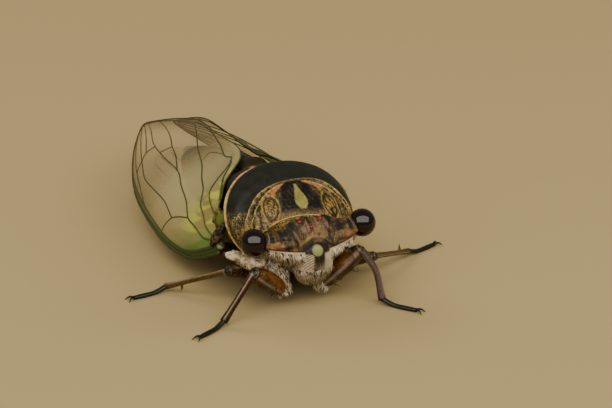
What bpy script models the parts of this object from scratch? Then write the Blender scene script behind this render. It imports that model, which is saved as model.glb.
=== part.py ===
"""A large dark cicada at rest, life size, with its clear wings folded like a roof.

The shapes are laid out in millimetres and turned to metres at the end. The insect
faces -Y, its tail points to +Y, and its own left side is at +X. It stands on its
six feet, whose flats lie at Z = 0.
"""
import math

import bmesh
import bpy
from mathutils import Matrix, Vector
from mathutils.geometry import delaunay_2d_cdt

MM = 0.001
GAP = 0.3
STEPPED_GAP = 0.4
SIDES = {"left": 1, "right": -1}

# Head, as sections across X: distance from the middle, front, back, top, bottom
HEAD_SECTIONS = [
    (0.0, -1.90, 1.75, 8.35, 3.4),
    (1.2, -1.90, 1.75, 8.30, 3.5),
    (2.4, -1.70, 1.70, 8.15, 4.0),
    (3.6, -1.20, 1.65, 7.95, 4.8),
    (4.4, -0.70, 1.70, 7.95, 5.4),
    (4.9, -0.30, 1.70, 7.90, 5.8),
]
HEAD_SQUARE = 2.4
HEAD_RISE = 0.3
CHEEK_SLANT = 1.9
HEAD_ROLL = math.radians(-1.8)
HEAD_SHIFT = Vector((0, 0, -0.1))
EYE_PLACE = (5.75, 0.7, 7.2)
EYE_RADII = (1.35, 1.4, 1.4)
OCELLUS_RADIUS = 0.32
OCELLI = [(0.0, -0.5, 8.25), (1.05, 0.15, 8.45), (-1.05, 0.15, 8.45)]
FACE_PLACE = (-0.1, -0.85, 4.7)
FACE_RADII = (1.7, 1.35, 2.6)
FACE_TILT = math.radians(26)
FACE_RIDGE = 0.05
FACE_ROWS = 26
FACE_KEEL = 0.6
LEDGE_PLACE = (3.1, -1.0, 7.25)
LEDGE_RADII = (1.2, 0.75, 0.4)
BEAK_PATH = [(0, -0.2, 3.0), (0, 0.4, 2.3), (0, 1.5, 1.8), (0, 4.8, 1.4), (0, 8.0, 1.2)]
BEAK_RADII = [0.75, 0.6, 0.42, 0.36, 0.26]
ANTENNA_PATH = [(3.0, -1.1, 6.0), (3.3, -2.1, 5.6), (3.5, -2.8, 4.8), (3.6, -3.3, 4.0)]
ANTENNA_RADII = [0.42, 0.3, 0.22, 0.1]

# The body behind the head leans to the insect's left, and stands to its right
BODY_LEAN = math.radians(5)
BODY_SHIFT = Vector((-0.5, 0, 0))
ROLL_CENTRE = Vector((0, 0, 7.0))

# Thorax, as leaning rings: y at the top, y at the bottom, half width, top, bottom
PRONOTUM_RINGS = [
    (0.7, 0.9, 4.5, 9.05, 3.6),
    (1.5, 1.0, 5.1, 9.65, 3.5),
    (2.7, 1.15, 5.7, 10.4, 3.4),
    (4.0, 1.3, 6.0, 10.95, 3.3),
    (4.6, 1.45, 6.3, 11.1, 3.2),
    (5.5, 1.6, 6.5, 11.6, 3.1),
    (6.7, 1.8, 6.6, 12.0, 3.1),
    (7.6, 1.95, 6.6, 12.15, 3.1),
    (7.9, 2.1, 6.35, 11.9, 3.2),
]
MESOTHORAX_RINGS = [
    (8.25, 2.5, 5.3, 11.1, 2.9),
    (9.0, 3.3, 5.5, 11.3, 2.5),
    (10.2, 5.8, 5.5, 11.0, 2.2),
    (11.7, 9.0, 5.4, 10.3, 2.2),
    (13.2, 12.3, 5.1, 9.4, 2.2),
    (14.4, 14.4, 4.6, 8.7, 2.2),
]
THORAX_SQUARE = 2.1
NOTUM_EDGE = 8.6
CRUCIFORM_PLACE = (0.0, 15.0, 8.9)
CRUCIFORM_RADII = (1.8, 1.5, 0.75)

# Abdomen: y, half width, top, bottom, then how its rings step
ABDOMEN_SHAPE = [
    (14.7, 4.4, 8.4, 2.0),
    (17.0, 4.6, 8.3, 1.7),
    (20.0, 4.4, 8.0, 1.6),
    (23.0, 3.9, 7.5, 1.7),
    (26.0, 3.2, 6.9, 2.0),
    (29.6, 2.1, 5.7, 2.7),
    (32.8, 0.6, 4.5, 3.7),
]
ABDOMEN_BREAK = 29.6
TERGITES = 7
TERGITE_STEP = 0.96
OPERCULUM_PLACE = (2.6, 14.1, 2.1)
OPERCULUM_RADII = (2.0, 2.1, 1.1)
TYMBAL_PLACE = (4.5, 16.2, 4.6)
TYMBAL_RADII = (0.85, 1.1, 0.95)

# Forewing: the costal edge and the inner edge at even steps along the wing
COSTAL_EDGE = [
    (7.0, 4.9, 3.9),
    (8.0, 9.5, 1.6),
    (8.8, 14.4, 1.1),
    (8.7, 19.4, 1.2),
    (8.3, 24.3, 1.5),
    (7.35, 29.0, 1.6),
    (5.9, 33.6, 1.65),
    (4.2, 38.0, 1.9),
    (2.5, 41.3, 2.4),
]
INNER_EDGE = [
    (6.5, 7.0, 7.3),
    (6.2, 10.6, 8.1),
    (2.6, 14.6, 9.5),
    (0.7, 18.6, 9.6),
    (0.5, 24.0, 9.3),
    (0.5, 29.5, 8.7),
    (0.5, 34.5, 7.5),
    (0.5, 39.0, 6.0),
    (0.5, 43.0, 4.4),
]
WING_LENGTH = 37.5
WING_ARCH = [0.5, 1.4, 1.9, 1.7, 1.4, 0.9, 0.4]
MEMBRANE = 0.5
FOREWING_OUTLINE = [
    (0.0, 0.0), (0.15, 0.0), (0.3, 0.0), (0.45, 0.0), (0.6, 0.0), (0.72, 0.015), (0.82, 0.05),
    (0.9, 0.11), (0.96, 0.2), (0.995, 0.33), (1.0, 0.47), (0.98, 0.6), (0.93, 0.72), (0.85, 0.83),
    (0.74, 0.93), (0.62, 1.0), (0.45, 1.0), (0.3, 1.0), (0.15, 1.0), (0.0, 1.0), (0.0, 0.5),
]
HINDWING_OUTLINE = [
    (0.14, 0.52), (0.25, 0.5), (0.36, 0.44), (0.48, 0.32), (0.58, 0.28), (0.65, 0.36), (0.67, 0.5),
    (0.62, 0.66), (0.52, 0.78), (0.38, 0.82), (0.26, 0.76), (0.16, 0.66),
]
# Veins, as lines over the wing: share of its length, share of its width
FOREWING_VEINS = [
    [(0.02, 0.14), (0.15, 0.06), (0.3, 0.05), (0.45, 0.045), (0.58, 0.05)],
    [(0.02, 0.35), (0.1, 0.28), (0.2, 0.27), (0.33, 0.27)],
    [(0.33, 0.27), (0.45, 0.2), (0.56, 0.2), (0.63, 0.26), (0.78, 0.33), (0.965, 0.41)],
    [(0.33, 0.27), (0.45, 0.36), (0.58, 0.42), (0.68, 0.48), (0.8, 0.55), (0.94, 0.63)],
    [(0.02, 0.5), (0.12, 0.47), (0.22, 0.53), (0.33, 0.6)],
    [(0.33, 0.6), (0.45, 0.56), (0.56, 0.58), (0.64, 0.66), (0.75, 0.73), (0.86, 0.78)],
    [(0.33, 0.6), (0.43, 0.75), (0.54, 0.87), (0.62, 0.94)],
    [(0.02, 0.7), (0.15, 0.83), (0.3, 0.9), (0.45, 0.93), (0.62, 0.94)],
    [(0.45, 0.045), (0.55, 0.11), (0.7, 0.17), (0.83, 0.22), (0.945, 0.28)],
    [(0.62, 0.14), (0.63, 0.26)],
    [(0.63, 0.26), (0.65, 0.35), (0.64, 0.455)],
    [(0.6, 0.435), (0.58, 0.6)],
    [(0.65, 0.35), (0.78, 0.44), (0.965, 0.52)],
    [(0.58, 0.05), (0.7, 0.06), (0.8, 0.1), (0.88, 0.16), (0.935, 0.25), (0.965, 0.38), (0.965, 0.52),
     (0.93, 0.65), (0.86, 0.78), (0.74, 0.88), (0.62, 0.94)],
]
HINDWING_VEINS = [
    [(0.17, 0.56), (0.3, 0.53), (0.45, 0.41), (0.6, 0.35)],
    [(0.18, 0.58), (0.33, 0.57), (0.48, 0.5), (0.63, 0.46)],
    [(0.33, 0.57), (0.47, 0.6), (0.61, 0.58)],
    [(0.18, 0.61), (0.32, 0.65), (0.46, 0.69), (0.57, 0.69)],
    [(0.19, 0.64), (0.3, 0.73), (0.42, 0.77)],
]
FOREWING_RISE = 0.3
HINDWING_RISE = 0.15
VEIN_HALF_WIDTH = 0.35
VEIN_STEP = 1.6
VEIN_SNAP = 1.0
EDGE_STEP = 1.8
FILL_STEP = 2.4
FILL_CLEARANCE = 1.1
HINDWING_DEPTH = 1.1
FOREWING_ROOT = (6.6, 6.0, 6.5)
FOREWING_ROOT_RADII = (1.0, 1.4, 1.5)
HINDWING_ROOT = (5.8, 11.0, 6.0)
HINDWING_ROOT_RADII = (0.8, 1.2, 1.2)

# Hip, trochanter, knee, ankle and toe of each leg, as the insect stands
LEG_JOINTS = {
    ("fore", "left"): [
        (3.5, 1.7, 4.4), (1.2, 0.4, 1.35), (5.0, -0.6, 5.0),
        (6.2, -3.4, 0.6), (8.6, -6.3, 0.2),
    ],
    ("fore", "right"): [
        (-3.6, 1.6, 4.3), (-2.7, 0.6, 1.4), (-6.4, -1.0, 4.5),
        (-10.1, -2.4, 0.6), (-13.2, -4.2, 0.2),
    ],
    ("mid", "left"): [
        (3.3, 6.2, 2.6), (2.6, 5.0, 1.4), (8.4, 3.9, 1.9),
        (13.3, 6.5, 0.6), (16.8, 8.0, 0.2),
    ],
    ("mid", "right"): [
        (-3.3, 6.2, 2.6), (-2.6, 5.2, 1.5), (-7.6, 2.9, 3.3),
        (-12.5, 7.5, 0.6), (-16.1, 6.9, 0.2),
    ],
    ("hind", "left"): [
        (3.1, 10.8, 2.4), (2.4, 10.2, 1.5), (5.4, 9.4, 3.0),
        (5.2, 17.6, 0.6), (5.4, 20.9, 0.2),
    ],
    ("hind", "right"): [
        (-3.1, 10.8, 2.4), (-2.4, 10.2, 1.5), (-6.0, 9.4, 3.0),
        (-6.4, 17.6, 0.6), (-6.7, 20.9, 0.2),
    ],
}
COXA_RADII = {"fore": [0.9, 1.0, 0.7], "mid": [0.9, 0.95, 0.7], "hind": [0.95, 1.0, 0.7]}
FEMUR_RADII = {
    "fore": [0.5, 0.9, 0.95, 0.6],
    "mid": [0.45, 0.68, 0.62, 0.48],
    "hind": [0.45, 0.68, 0.6, 0.45],
}
TIBIA_RADII = {
    "fore": [0.48, 0.38, 0.36, 0.42],
    "mid": [0.4, 0.3, 0.28, 0.34],
    "hind": [0.4, 0.3, 0.28, 0.34],
}
TARSUS_RADII = [0.3, 0.27, 0.25, 0.27, 0.22]
FEMUR_SPINES = {"fore": [0.18, 0.36, 0.54], "mid": [0.6], "hind": [0.5]}
TIBIA_SPINES = {
    "fore": [0.75],
    "mid": [0.6, 0.72, 0.84],
    "hind": [0.3, 0.42, 0.54, 0.66, 0.78, 0.88],
}
SPINE_LENGTH = 0.75
SPINE_ROOT = 0.28
SPINE_LEAN = 0.5
CLAW_LENGTH = 0.9
CLAW_ROOT = 0.2
INSTEP = 0.4
CLAW_SPREAD = math.radians(28)

# Colours of the parts
BLACK = (0.02, 0.017, 0.014)
DARK_BROWN = (0.05, 0.028, 0.015)
EYE_BROWN = (0.03, 0.012, 0.008)
OLIVE = (0.10, 0.12, 0.04)
RUST = (0.24, 0.09, 0.03)
CREAM = (0.45, 0.36, 0.22)
GLASSY = (0.42, 0.36, 0.25)


def along(points, share):
    """Point at a share from 0 to 1 of a smooth line through evenly spaced points."""
    last = len(points) - 1
    place = min(max(share, 0.0), 1.0) * last
    index = min(int(place), last - 1)
    step = place - index
    before = Vector(points[max(index - 1, 0)])
    start = Vector(points[index])
    end = Vector(points[index + 1])
    after = Vector(points[min(index + 2, last)])
    curve = (2 * before - 5 * start + 4 * end - after) * step ** 2
    twist = (3 * start - before - 3 * end + after) * step ** 3
    return (2 * start + (end - before) * step + curve + twist) / 2


def between(points, share):
    """Value at a share from 0 to 1 of an evenly spaced list of numbers."""
    return along([(value, 0, 0) for value in points], share).x


def new_object(bm, name="shape"):
    """Turn a bmesh to an object in the scene, its faces pointing outward."""
    bmesh.ops.recalc_face_normals(bm, faces=bm.faces[:])
    mesh = bpy.data.meshes.new(name)
    bm.to_mesh(mesh)
    bm.free()
    shape = bpy.data.objects.new(name, mesh)
    bpy.context.scene.collection.objects.link(shape)
    return shape


def loft(rings):
    """Closed body through rings of points, each end closed by a fan."""
    bm = bmesh.new()
    loops = [[bm.verts.new(point) for point in ring] for ring in rings]
    count = len(loops[0])
    for near, far in zip(loops, loops[1:]):
        for i in range(count):
            j = (i + 1) % count
            bm.faces.new((near[i], near[j], far[j], far[i]))
    for loop in (loops[0], loops[-1]):
        middle = bm.verts.new(sum((vert.co for vert in loop), Vector()) / count)
        for i in range(count):
            bm.faces.new((loop[i], loop[(i + 1) % count], middle))
    return new_object(bm)


def rounded(angle, square):
    """Point on a unit circle that a power above 2 makes more square."""
    across = math.copysign(abs(math.cos(angle)) ** (2 / square), math.cos(angle))
    up = math.copysign(abs(math.sin(angle)) ** (2 / square), math.sin(angle))
    return across, up


def leaning_ring(row, square, grow, shift, count=28):
    """Ring around the body in a plane that leans forward at its lower side."""
    y_top, y_bottom, half_width, top, bottom = row
    middle = (top + bottom) / 2
    lean = (y_top - y_bottom) / (top - bottom)
    ring = []
    for i in range(count):
        across, up = rounded(math.tau * i / count, square)
        z = middle + up * (top - middle + grow)
        y = y_bottom + lean * (z - bottom) + shift * math.hypot(1, lean)
        ring.append(Vector((across * (half_width + grow), y, z)))
    return ring


def body_rings(rows, square, grow=0.0):
    """Loft of leaning rings, made larger all round by grow."""
    rings = []
    for index, row in enumerate(rows):
        shift = {0: -grow, len(rows) - 1: grow}.get(index, 0.0)
        rings.append(leaning_ring(row, square, grow, shift))
    return loft(rings)


def roll(shape, angle, shift):
    """Turn a shape about the line along the middle of the insect, and move it."""
    back = Matrix.Translation(-ROLL_CENTRE)
    turn = Matrix.Translation(ROLL_CENTRE + shift) @ Matrix.Rotation(angle, 4, "Y") @ back
    shape.data.transform(turn)
    return shape


def lean(shape):
    return roll(shape, BODY_LEAN, BODY_SHIFT)


def nod(shape):
    return roll(shape, HEAD_ROLL, HEAD_SHIFT)


def ball(place, radii, segments=16, rows=10):
    """Ellipsoid from a sphere, at a place."""
    bm = bmesh.new()
    bmesh.ops.create_uvsphere(bm, u_segments=segments, v_segments=rows, radius=1)
    bmesh.ops.scale(bm, vec=radii, verts=bm.verts)
    bmesh.ops.translate(bm, vec=place, verts=bm.verts)
    return new_object(bm)


def limb(points, radii, stations=6, grow=0.0):
    """Tube with eight sides along a smooth path, its radius given at even steps."""
    path = [along(points, i / stations) for i in range(stations + 1)]
    if grow:
        path[0] += (path[0] - path[1]).normalized() * grow
        path[-1] += (path[-1] - path[-2]).normalized() * grow
    curve = bpy.data.curves.new("limb", "CURVE")
    curve.dimensions = "3D"
    curve.bevel_depth = 1.0
    curve.bevel_resolution = 2
    curve.use_fill_caps = True
    spline = curve.splines.new("POLY")
    spline.points.add(len(path) - 1)
    for i, (knot, place) in enumerate(zip(spline.points, path)):
        knot.co = (*place, 1)
        knot.radius = between(radii, i / stations) + grow
    tube = bpy.data.objects.new("limb", curve)
    bpy.context.scene.collection.objects.link(tube)
    bpy.context.view_layer.update()
    graph = bpy.context.evaluated_depsgraph_get()
    bm = bmesh.new()
    bm.from_mesh(bpy.data.meshes.new_from_object(tube.evaluated_get(graph)))
    bmesh.ops.remove_doubles(bm, verts=bm.verts, dist=0.001)
    bpy.data.objects.remove(tube)
    return new_object(bm)


def cone(root, tip, radius, segments=5):
    """Spine or claw from its root to its tip."""
    axis = Vector(tip) - Vector(root)
    bm = bmesh.new()
    bmesh.ops.create_cone(bm, cap_ends=True, segments=segments, radius1=radius, radius2=0, depth=axis.length)
    turn = axis.to_track_quat("Z", "Y").to_matrix().to_4x4()
    middle = (Vector(root) + Vector(tip)) / 2
    bmesh.ops.transform(bm, matrix=Matrix.Translation(middle) @ turn, verts=bm.verts)
    return new_object(bm)


def floor_block():
    """Block below the floor, which cuts the soles of the feet flat."""
    bm = bmesh.new()
    bmesh.ops.create_cube(bm, size=1)
    bmesh.ops.scale(bm, vec=(60, 90, 4), verts=bm.verts)
    bmesh.ops.translate(bm, vec=(0, 15, -2), verts=bm.verts)
    return new_object(bm)


def keep_largest(shape):
    """Drop every closed surface of a shape but the largest."""
    bm = bmesh.new()
    bm.from_mesh(shape.data)
    bmesh.ops.remove_doubles(bm, verts=bm.verts, dist=0.0005)
    bmesh.ops.dissolve_degenerate(bm, edges=bm.edges, dist=0.0005)
    bmesh.ops.triangulate(bm, faces=bm.faces[:])
    left = set(bm.verts)
    groups = []
    while left:
        stack = [left.pop()]
        group = set(stack)
        while stack:
            for edge in stack.pop().link_edges:
                for vert in edge.verts:
                    if vert in left:
                        left.remove(vert)
                        group.add(vert)
                        stack.append(vert)
        groups.append(group)

    def spread(group):
        span = [max(v.co[k] for v in group) - min(v.co[k] for v in group) for k in range(3)]
        return Vector(span).length

    groups.sort(key=spread)
    loose = [vert for group in groups[:-1] for vert in group]
    bmesh.ops.delete(bm, geom=loose, context="VERTS")
    bm.to_mesh(shape.data)
    bm.free()
    return shape


def combine(shape, tools, operation):
    """Apply one Boolean of a shape with a collection of closed tools."""
    group = bpy.data.collections.new("tools")
    bpy.context.scene.collection.children.link(group)
    for tool in tools:
        bpy.context.scene.collection.objects.unlink(tool)
        group.objects.link(tool)
    modifier = shape.modifiers.new("combine", "BOOLEAN")
    modifier.operation = operation
    modifier.operand_type = "COLLECTION"
    modifier.collection = group
    modifier.solver = "EXACT"
    bpy.context.view_layer.update()
    graph = bpy.context.evaluated_depsgraph_get()
    mesh = bpy.data.meshes.new_from_object(shape.evaluated_get(graph))
    shape.modifiers.clear()
    shape.data = mesh
    for tool in tools:
        bpy.data.objects.remove(tool)
    bpy.data.collections.remove(group)
    return keep_largest(shape)


def join(shape, pieces):
    return combine(shape, pieces, "UNION")


def cut(shape, blockers):
    return combine(shape, blockers, "DIFFERENCE")


def slice_off(shape, height, keep_above):
    """Cut a shape at a height and close the cut."""
    bm = bmesh.new()
    bm.from_mesh(shape.data)
    everything = bm.verts[:] + bm.edges[:] + bm.faces[:]
    bmesh.ops.bisect_plane(
        bm, geom=everything, plane_co=(0, 0, height), plane_no=(0, 0, 1),
        clear_inner=keep_above, clear_outer=not keep_above,
    )
    open_edges = [edge for edge in bm.edges if edge.is_boundary]
    bmesh.ops.holes_fill(bm, edges=open_edges)
    bmesh.ops.triangulate(bm, faces=bm.faces[:])
    bmesh.ops.recalc_face_normals(bm, faces=bm.faces[:])
    bm.to_mesh(shape.data)
    bm.free()
    return shape


def make_material(name, colour, roughness, metallic=0.0):
    material = bpy.data.materials.new(name)
    material.use_nodes = True
    shader = material.node_tree.nodes["Principled BSDF"]
    shader.inputs["Base Color"].default_value = (*colour, 1)
    shader.inputs["Roughness"].default_value = roughness
    shader.inputs["Metallic"].default_value = metallic
    return material


nodes = {}


def node(name, shape, colour, roughness=0.4):
    """Name a finished shape, give it its material and keep it."""
    keep_largest(shape)
    shape.name = name
    shape.data.name = name
    shape.data.materials.clear()
    shape.data.materials.append(make_material(name, colour, roughness))
    nodes[name] = shape


def head_shape(grow=0.0):
    """Broad head between the eyes, its top rising and its cheeks slanting to the back."""
    rows = [(-x, *rest) for x, *rest in reversed(HEAD_SECTIONS[1:])] + HEAD_SECTIONS
    rings = []
    for index, (x, front, back, top, bottom) in enumerate(rows):
        x += {0: -grow, len(rows) - 1: grow}.get(index, 0.0)
        ring = []
        for i in range(24):
            forth, up = rounded(math.tau * i / 24, HEAD_SQUARE)
            depth = forth * ((back - front) / 2 + grow)
            height = (top - bottom) / 2 + grow + (HEAD_RISE * depth if up > 0 else 0)
            slant = CHEEK_SLANT * max(0.0, -up) * (1 - forth) / 2
            ring.append(Vector((x, (front + back) / 2 + depth + slant, (top + bottom) / 2 + up * height)))
        rings.append(ring)
    return nod(loft(rings))


def mirrored(place, side):
    return Vector((place[0] * side, place[1], place[2]))


def eye_shape(side, grow=0.0):
    radii = [radius + grow for radius in EYE_RADII]
    return nod(ball(mirrored(EYE_PLACE, side), radii, 18, 12))


def pronotum_shape(grow=0.0):
    return body_rings(PRONOTUM_RINGS, THORAX_SQUARE, grow)


def mesothorax_shape(grow=0.0):
    return body_rings(MESOTHORAX_RINGS, THORAX_SQUARE, grow)


def abdomen_size(y):
    """Half width, top and bottom of the abdomen at a place along it."""
    for near, far in zip(ABDOMEN_SHAPE, ABDOMEN_SHAPE[1:]):
        if y <= far[0]:
            break
    share = (y - near[0]) / (far[0] - near[0])
    return [a + (b - a) * share for a, b in zip(near[1:], far[1:])]


def abdomen_shape(start, end, rings_count, grow=0.0):
    """Part of the abdomen, each ring of plates standing a little over the next."""
    rows = []
    length = (end - start) / rings_count
    for index in range(rings_count):
        for share, scale in ((0.0, TERGITE_STEP), (0.5, 1.0), (0.97, 1.0)):
            y = start + length * (index + share)
            half_width, top, bottom = abdomen_size(y)
            middle = (top + bottom) / 2
            top = middle + (top - middle) * scale
            bottom = middle + (bottom - middle) * scale
            rows.append((y, y, half_width * scale, top, bottom))
    return body_rings(rows, 2.0, grow)


def trunk_blockers(grow=GAP):
    abdomen = abdomen_shape(ABDOMEN_SHAPE[0][0], ABDOMEN_BREAK, TERGITES, grow)
    return [pronotum_shape(grow), mesothorax_shape(grow), abdomen]


def wing_point(a, b):
    """Point on the roof-like sheet of the left forewing: a runs along it, b across."""
    costal = along(COSTAL_EDGE, a)
    inner = along(INNER_EDGE, a)
    chord = inner - costal
    outward = Vector((chord.z, 0, -chord.x)).normalized()
    arch = between(WING_ARCH, a) * 6.75 * b * (1 - b) ** 2
    return costal + chord * b + outward * arch


def wing_normal(a, b):
    step = 0.01
    lengthwise = wing_point(a + step, b) - wing_point(a - step, b)
    crosswise = wing_point(a, b + step) - wing_point(a, b - step)
    return lengthwise.cross(crosswise).normalized()


def wing_width(a):
    return (along(INNER_EDGE, a) - along(COSTAL_EDGE, a)).length


def flatten(a, b):
    """Place on the wing laid flat, in millimetres."""
    return Vector((a * WING_LENGTH, (b - 0.5) * wing_width(a)))


def unflatten(flat):
    a = flat.x / WING_LENGTH
    return a, flat.y / wing_width(a) + 0.5


def resample(points, spacing):
    """Points along a line at an even spacing, with both ends kept."""
    result = []
    for start, end in zip(points, points[1:]):
        steps = max(1, round((end - start).length / spacing))
        result += [start.lerp(end, i / steps) for i in range(steps)]
    return result + [points[-1]]


def nearest_on_line(point, line):
    """Distance from a point to a line of points."""
    best = math.inf
    for start, end in zip(line, line[1:]):
        run = end - start
        share = max(0.0, min(1.0, (point - start).dot(run) / run.length_squared))
        best = min(best, (point - start - run * share).length)
    return best


def flat_veins(veins):
    """Smooth vein lines on the flat wing, their ends pulled to the veins they meet."""
    lines = []
    for vein in veins:
        rough = [flatten(a, b) for a, b in vein]
        length = sum((q - p).length for p, q in zip(rough, rough[1:]))
        steps = max(2, round(length / VEIN_STEP))
        knots = [(*p, 0) for p in rough]
        line = [along(knots, i / steps).to_2d() for i in range(steps + 1)]
        for end in (0, -1):
            for other in lines:
                near = min(other, key=lambda p: (p - line[end]).length)
                if (near - line[end]).length < VEIN_SNAP:
                    line[end] = near.copy()
                    break
        lines.append(line)
    return lines


def shoulder_points(lines, edge):
    """Points beside each vein, where its ridge meets the membrane."""
    points = []
    for index, line in enumerate(lines):
        others = lines[:index] + lines[index + 1:] + [edge]
        for before, here, after in zip(line, line[1:], line[2:]):
            run = (after - before).normalized()
            for side in (1, -1):
                point = here + Vector((-run.y, run.x)) * VEIN_HALF_WIDTH * side
                if all(nearest_on_line(point, other) > VEIN_HALF_WIDTH for other in others):
                    points.append(point)
    return points


def wing_sheet(outline, veins, depth, vein_rise, grow=0.0):
    """Curved membrane with raised veins, cut into triangles alike on both faces."""
    half = MEMBRANE / 2 + grow
    edge = resample([flatten(a, b) for a, b in outline + outline[:1]], EDGE_STEP)[:-1]
    lines = flat_veins(veins)
    points = list(edge)
    constraints = [(i, (i + 1) % len(edge)) for i in range(len(edge))]
    for line in lines:
        constraints += [(len(points) + i, len(points) + i + 1) for i in range(len(line) - 1)]
        points += line
    points += shoulder_points(lines, edge + edge[:1])
    low = Vector((min(p.x for p in edge), min(p.y for p in edge)))
    high = Vector((max(p.x for p in edge), max(p.y for p in edge)))
    inside = []
    for column in range(int((high.x - low.x) / FILL_STEP) + 1):
        for row in range(int((high.y - low.y) / FILL_STEP) + 1):
            spot = low + Vector((column, row + 0.5 * (column % 2))) * FILL_STEP
            if min((spot - point).length for point in points) > FILL_CLEARANCE:
                inside.append(spot)
    flat_points, _, faces, *_ = delaunay_2d_cdt(points + inside, constraints, [], 1, 0.0001)
    outer = []
    inner = []
    bm = bmesh.new()
    for flat in flat_points:
        a, b = unflatten(flat)
        rise = max(0.0, 1 - min(nearest_on_line(flat, line) for line in lines) / VEIN_HALF_WIDTH)
        middle = wing_point(a, b) - wing_normal(a, b) * depth
        outer.append(bm.verts.new(middle + wing_normal(a, b) * (half + vein_rise * rise)))
        inner.append(bm.verts.new(middle - wing_normal(a, b) * half))
    used = set()
    for face in faces:
        bm.faces.new([outer[i] for i in face])
        bm.faces.new([inner[i] for i in reversed(face)])
        used.update(zip(face, face[1:] + face[:1]))
    for i, j in sorted(used):
        if (j, i) not in used:
            bm.faces.new((outer[j], outer[i], inner[i], inner[j]))
    bmesh.ops.delete(bm, geom=[v for v in bm.verts if not v.link_faces], context="VERTS")
    bmesh.ops.triangulate(bm, faces=bm.faces[:])
    return new_object(bm)


def on_side(shape, side):
    if side < 0:
        shape.data.transform(Matrix.Scale(-1, 4, Vector((1, 0, 0))))
        shape.data.flip_normals()
    return shape


def face_shape(ridge, grow=0.0):
    """Swollen front of the face, with a pile of ridges across each side of its middle."""
    face = ball((0, 0, 0), FACE_RADII, 20, FACE_ROWS)
    for vert in face.data.vertices:
        row = round(math.acos(max(-1.0, min(1.0, vert.co.z / FACE_RADII[2]))) / math.pi * FACE_ROWS)
        beside = min(1.0, abs(vert.co.x) / FACE_KEEL)
        vert.co.xy *= 1 + ridge * beside * (-1) ** row
        vert.co *= 1 + grow / FACE_RADII[1]
    tilt = Matrix.Rotation(FACE_TILT, 4, "X")
    face.data.transform(Matrix.Translation(FACE_PLACE) @ tilt)
    return nod(face)


def build_head():
    bumps = [nod(ball(place, (OCELLUS_RADIUS,) * 3, 8, 6)) for place in OCELLI]
    bumps += [nod(ball(mirrored(LEDGE_PLACE, side), LEDGE_RADII, 12, 8)) for side in SIDES.values()]
    head = join(head_shape(), bumps)
    node("head", cut(head, [eye_shape(side, GAP) for side in SIDES.values()]), DARK_BROWN)
    node("face", cut(face_shape(FACE_RIDGE), [head_shape(GAP)]), BLACK)
    node("beak", cut(limb(BEAK_PATH, BEAK_RADII, 8), body_blockers()), DARK_BROWN)
    for label, side in SIDES.items():
        node(f"eye_{label}", eye_shape(side), EYE_BROWN, 0.15)
        antenna = nod(limb([mirrored(place, side) for place in ANTENNA_PATH], ANTENNA_RADII))
        node(f"antenna_{label}", cut(antenna, [head_shape(GAP)]), BLACK)


def build_trunk():
    blockers = [head_shape(GAP)] + [eye_shape(side, GAP) for side in SIDES.values()]
    node("pronotum", cut(lean(pronotum_shape()), blockers), BLACK, 0.3)
    node("mesonotum", lean(slice_off(mesothorax_shape(), NOTUM_EDGE, True)), BLACK, 0.3)
    node("thorax", lean(slice_off(mesothorax_shape(), NOTUM_EDGE - GAP, False)), RUST)
    cross = cut(ball(CRUCIFORM_PLACE, CRUCIFORM_RADII), trunk_blockers())
    node("cruciform_elevation", lean(cross), OLIVE)
    node("abdomen", lean(abdomen_shape(ABDOMEN_SHAPE[0][0], ABDOMEN_BREAK, TERGITES)), BLACK)
    tip = abdomen_shape(ABDOMEN_BREAK + GAP, ABDOMEN_SHAPE[-1][0], 2)
    node("abdomen_tip", lean(tip), BLACK)
    for label, side in SIDES.items():
        plate = cut(ball(mirrored(OPERCULUM_PLACE, side), OPERCULUM_RADII), trunk_blockers())
        node(f"operculum_{label}", lean(plate), CREAM)
        cover = ball(mirrored(TYMBAL_PLACE, side), TYMBAL_RADII)
        node(f"tymbal_cover_{label}", lean(cut(cover, trunk_blockers(STEPPED_GAP))), DARK_BROWN)


def build_wings():
    for label, side in SIDES.items():
        fore = on_side(wing_sheet(FOREWING_OUTLINE, FOREWING_VEINS, 0.0, FOREWING_RISE), side)
        root = ball(mirrored(FOREWING_ROOT, side), FOREWING_ROOT_RADII, 12, 8)
        cross = ball(CRUCIFORM_PLACE, [radius + STEPPED_GAP for radius in CRUCIFORM_RADII])
        wing = cut(join(fore, [root]), trunk_blockers(STEPPED_GAP) + [cross])
        node(f"forewing_{label}", lean(wing), GLASSY, 0.2)
        hind = on_side(wing_sheet(HINDWING_OUTLINE, HINDWING_VEINS, HINDWING_DEPTH, HINDWING_RISE), side)
        root = ball(mirrored(HINDWING_ROOT, side), HINDWING_ROOT_RADII, 12, 8)
        above = on_side(wing_sheet(FOREWING_OUTLINE, FOREWING_VEINS, 0.0, 0.0, GAP), side)
        wing = cut(join(hind, [root]), trunk_blockers(STEPPED_GAP) + [above])
        node(f"hindwing_{label}", lean(wing), GLASSY, 0.2)


def spines(start, end, radii, shares, away):
    """Row of spines along a straight leg piece, rooted on its axis."""
    axis = (end - start).normalized()
    rows = []
    for index, share in enumerate(shares):
        out = away - axis * away.dot(axis)
        if len(shares) > 2 and index % 2:
            out = Matrix.Rotation(math.radians(70), 3, axis) @ out
        out = (out.normalized() + axis * SPINE_LEAN).normalized()
        root = start.lerp(end, share)
        rows.append(cone(root, root + out * (between(radii, share) + SPINE_LENGTH), SPINE_ROOT))
    return rows


def body_blockers():
    """Head, face and trunk as they stand, made larger by the gap."""
    front = [head_shape(GAP), face_shape(0.0, GAP + FACE_RIDGE)]
    return front + [lean(blocker) for blocker in trunk_blockers()]


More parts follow.
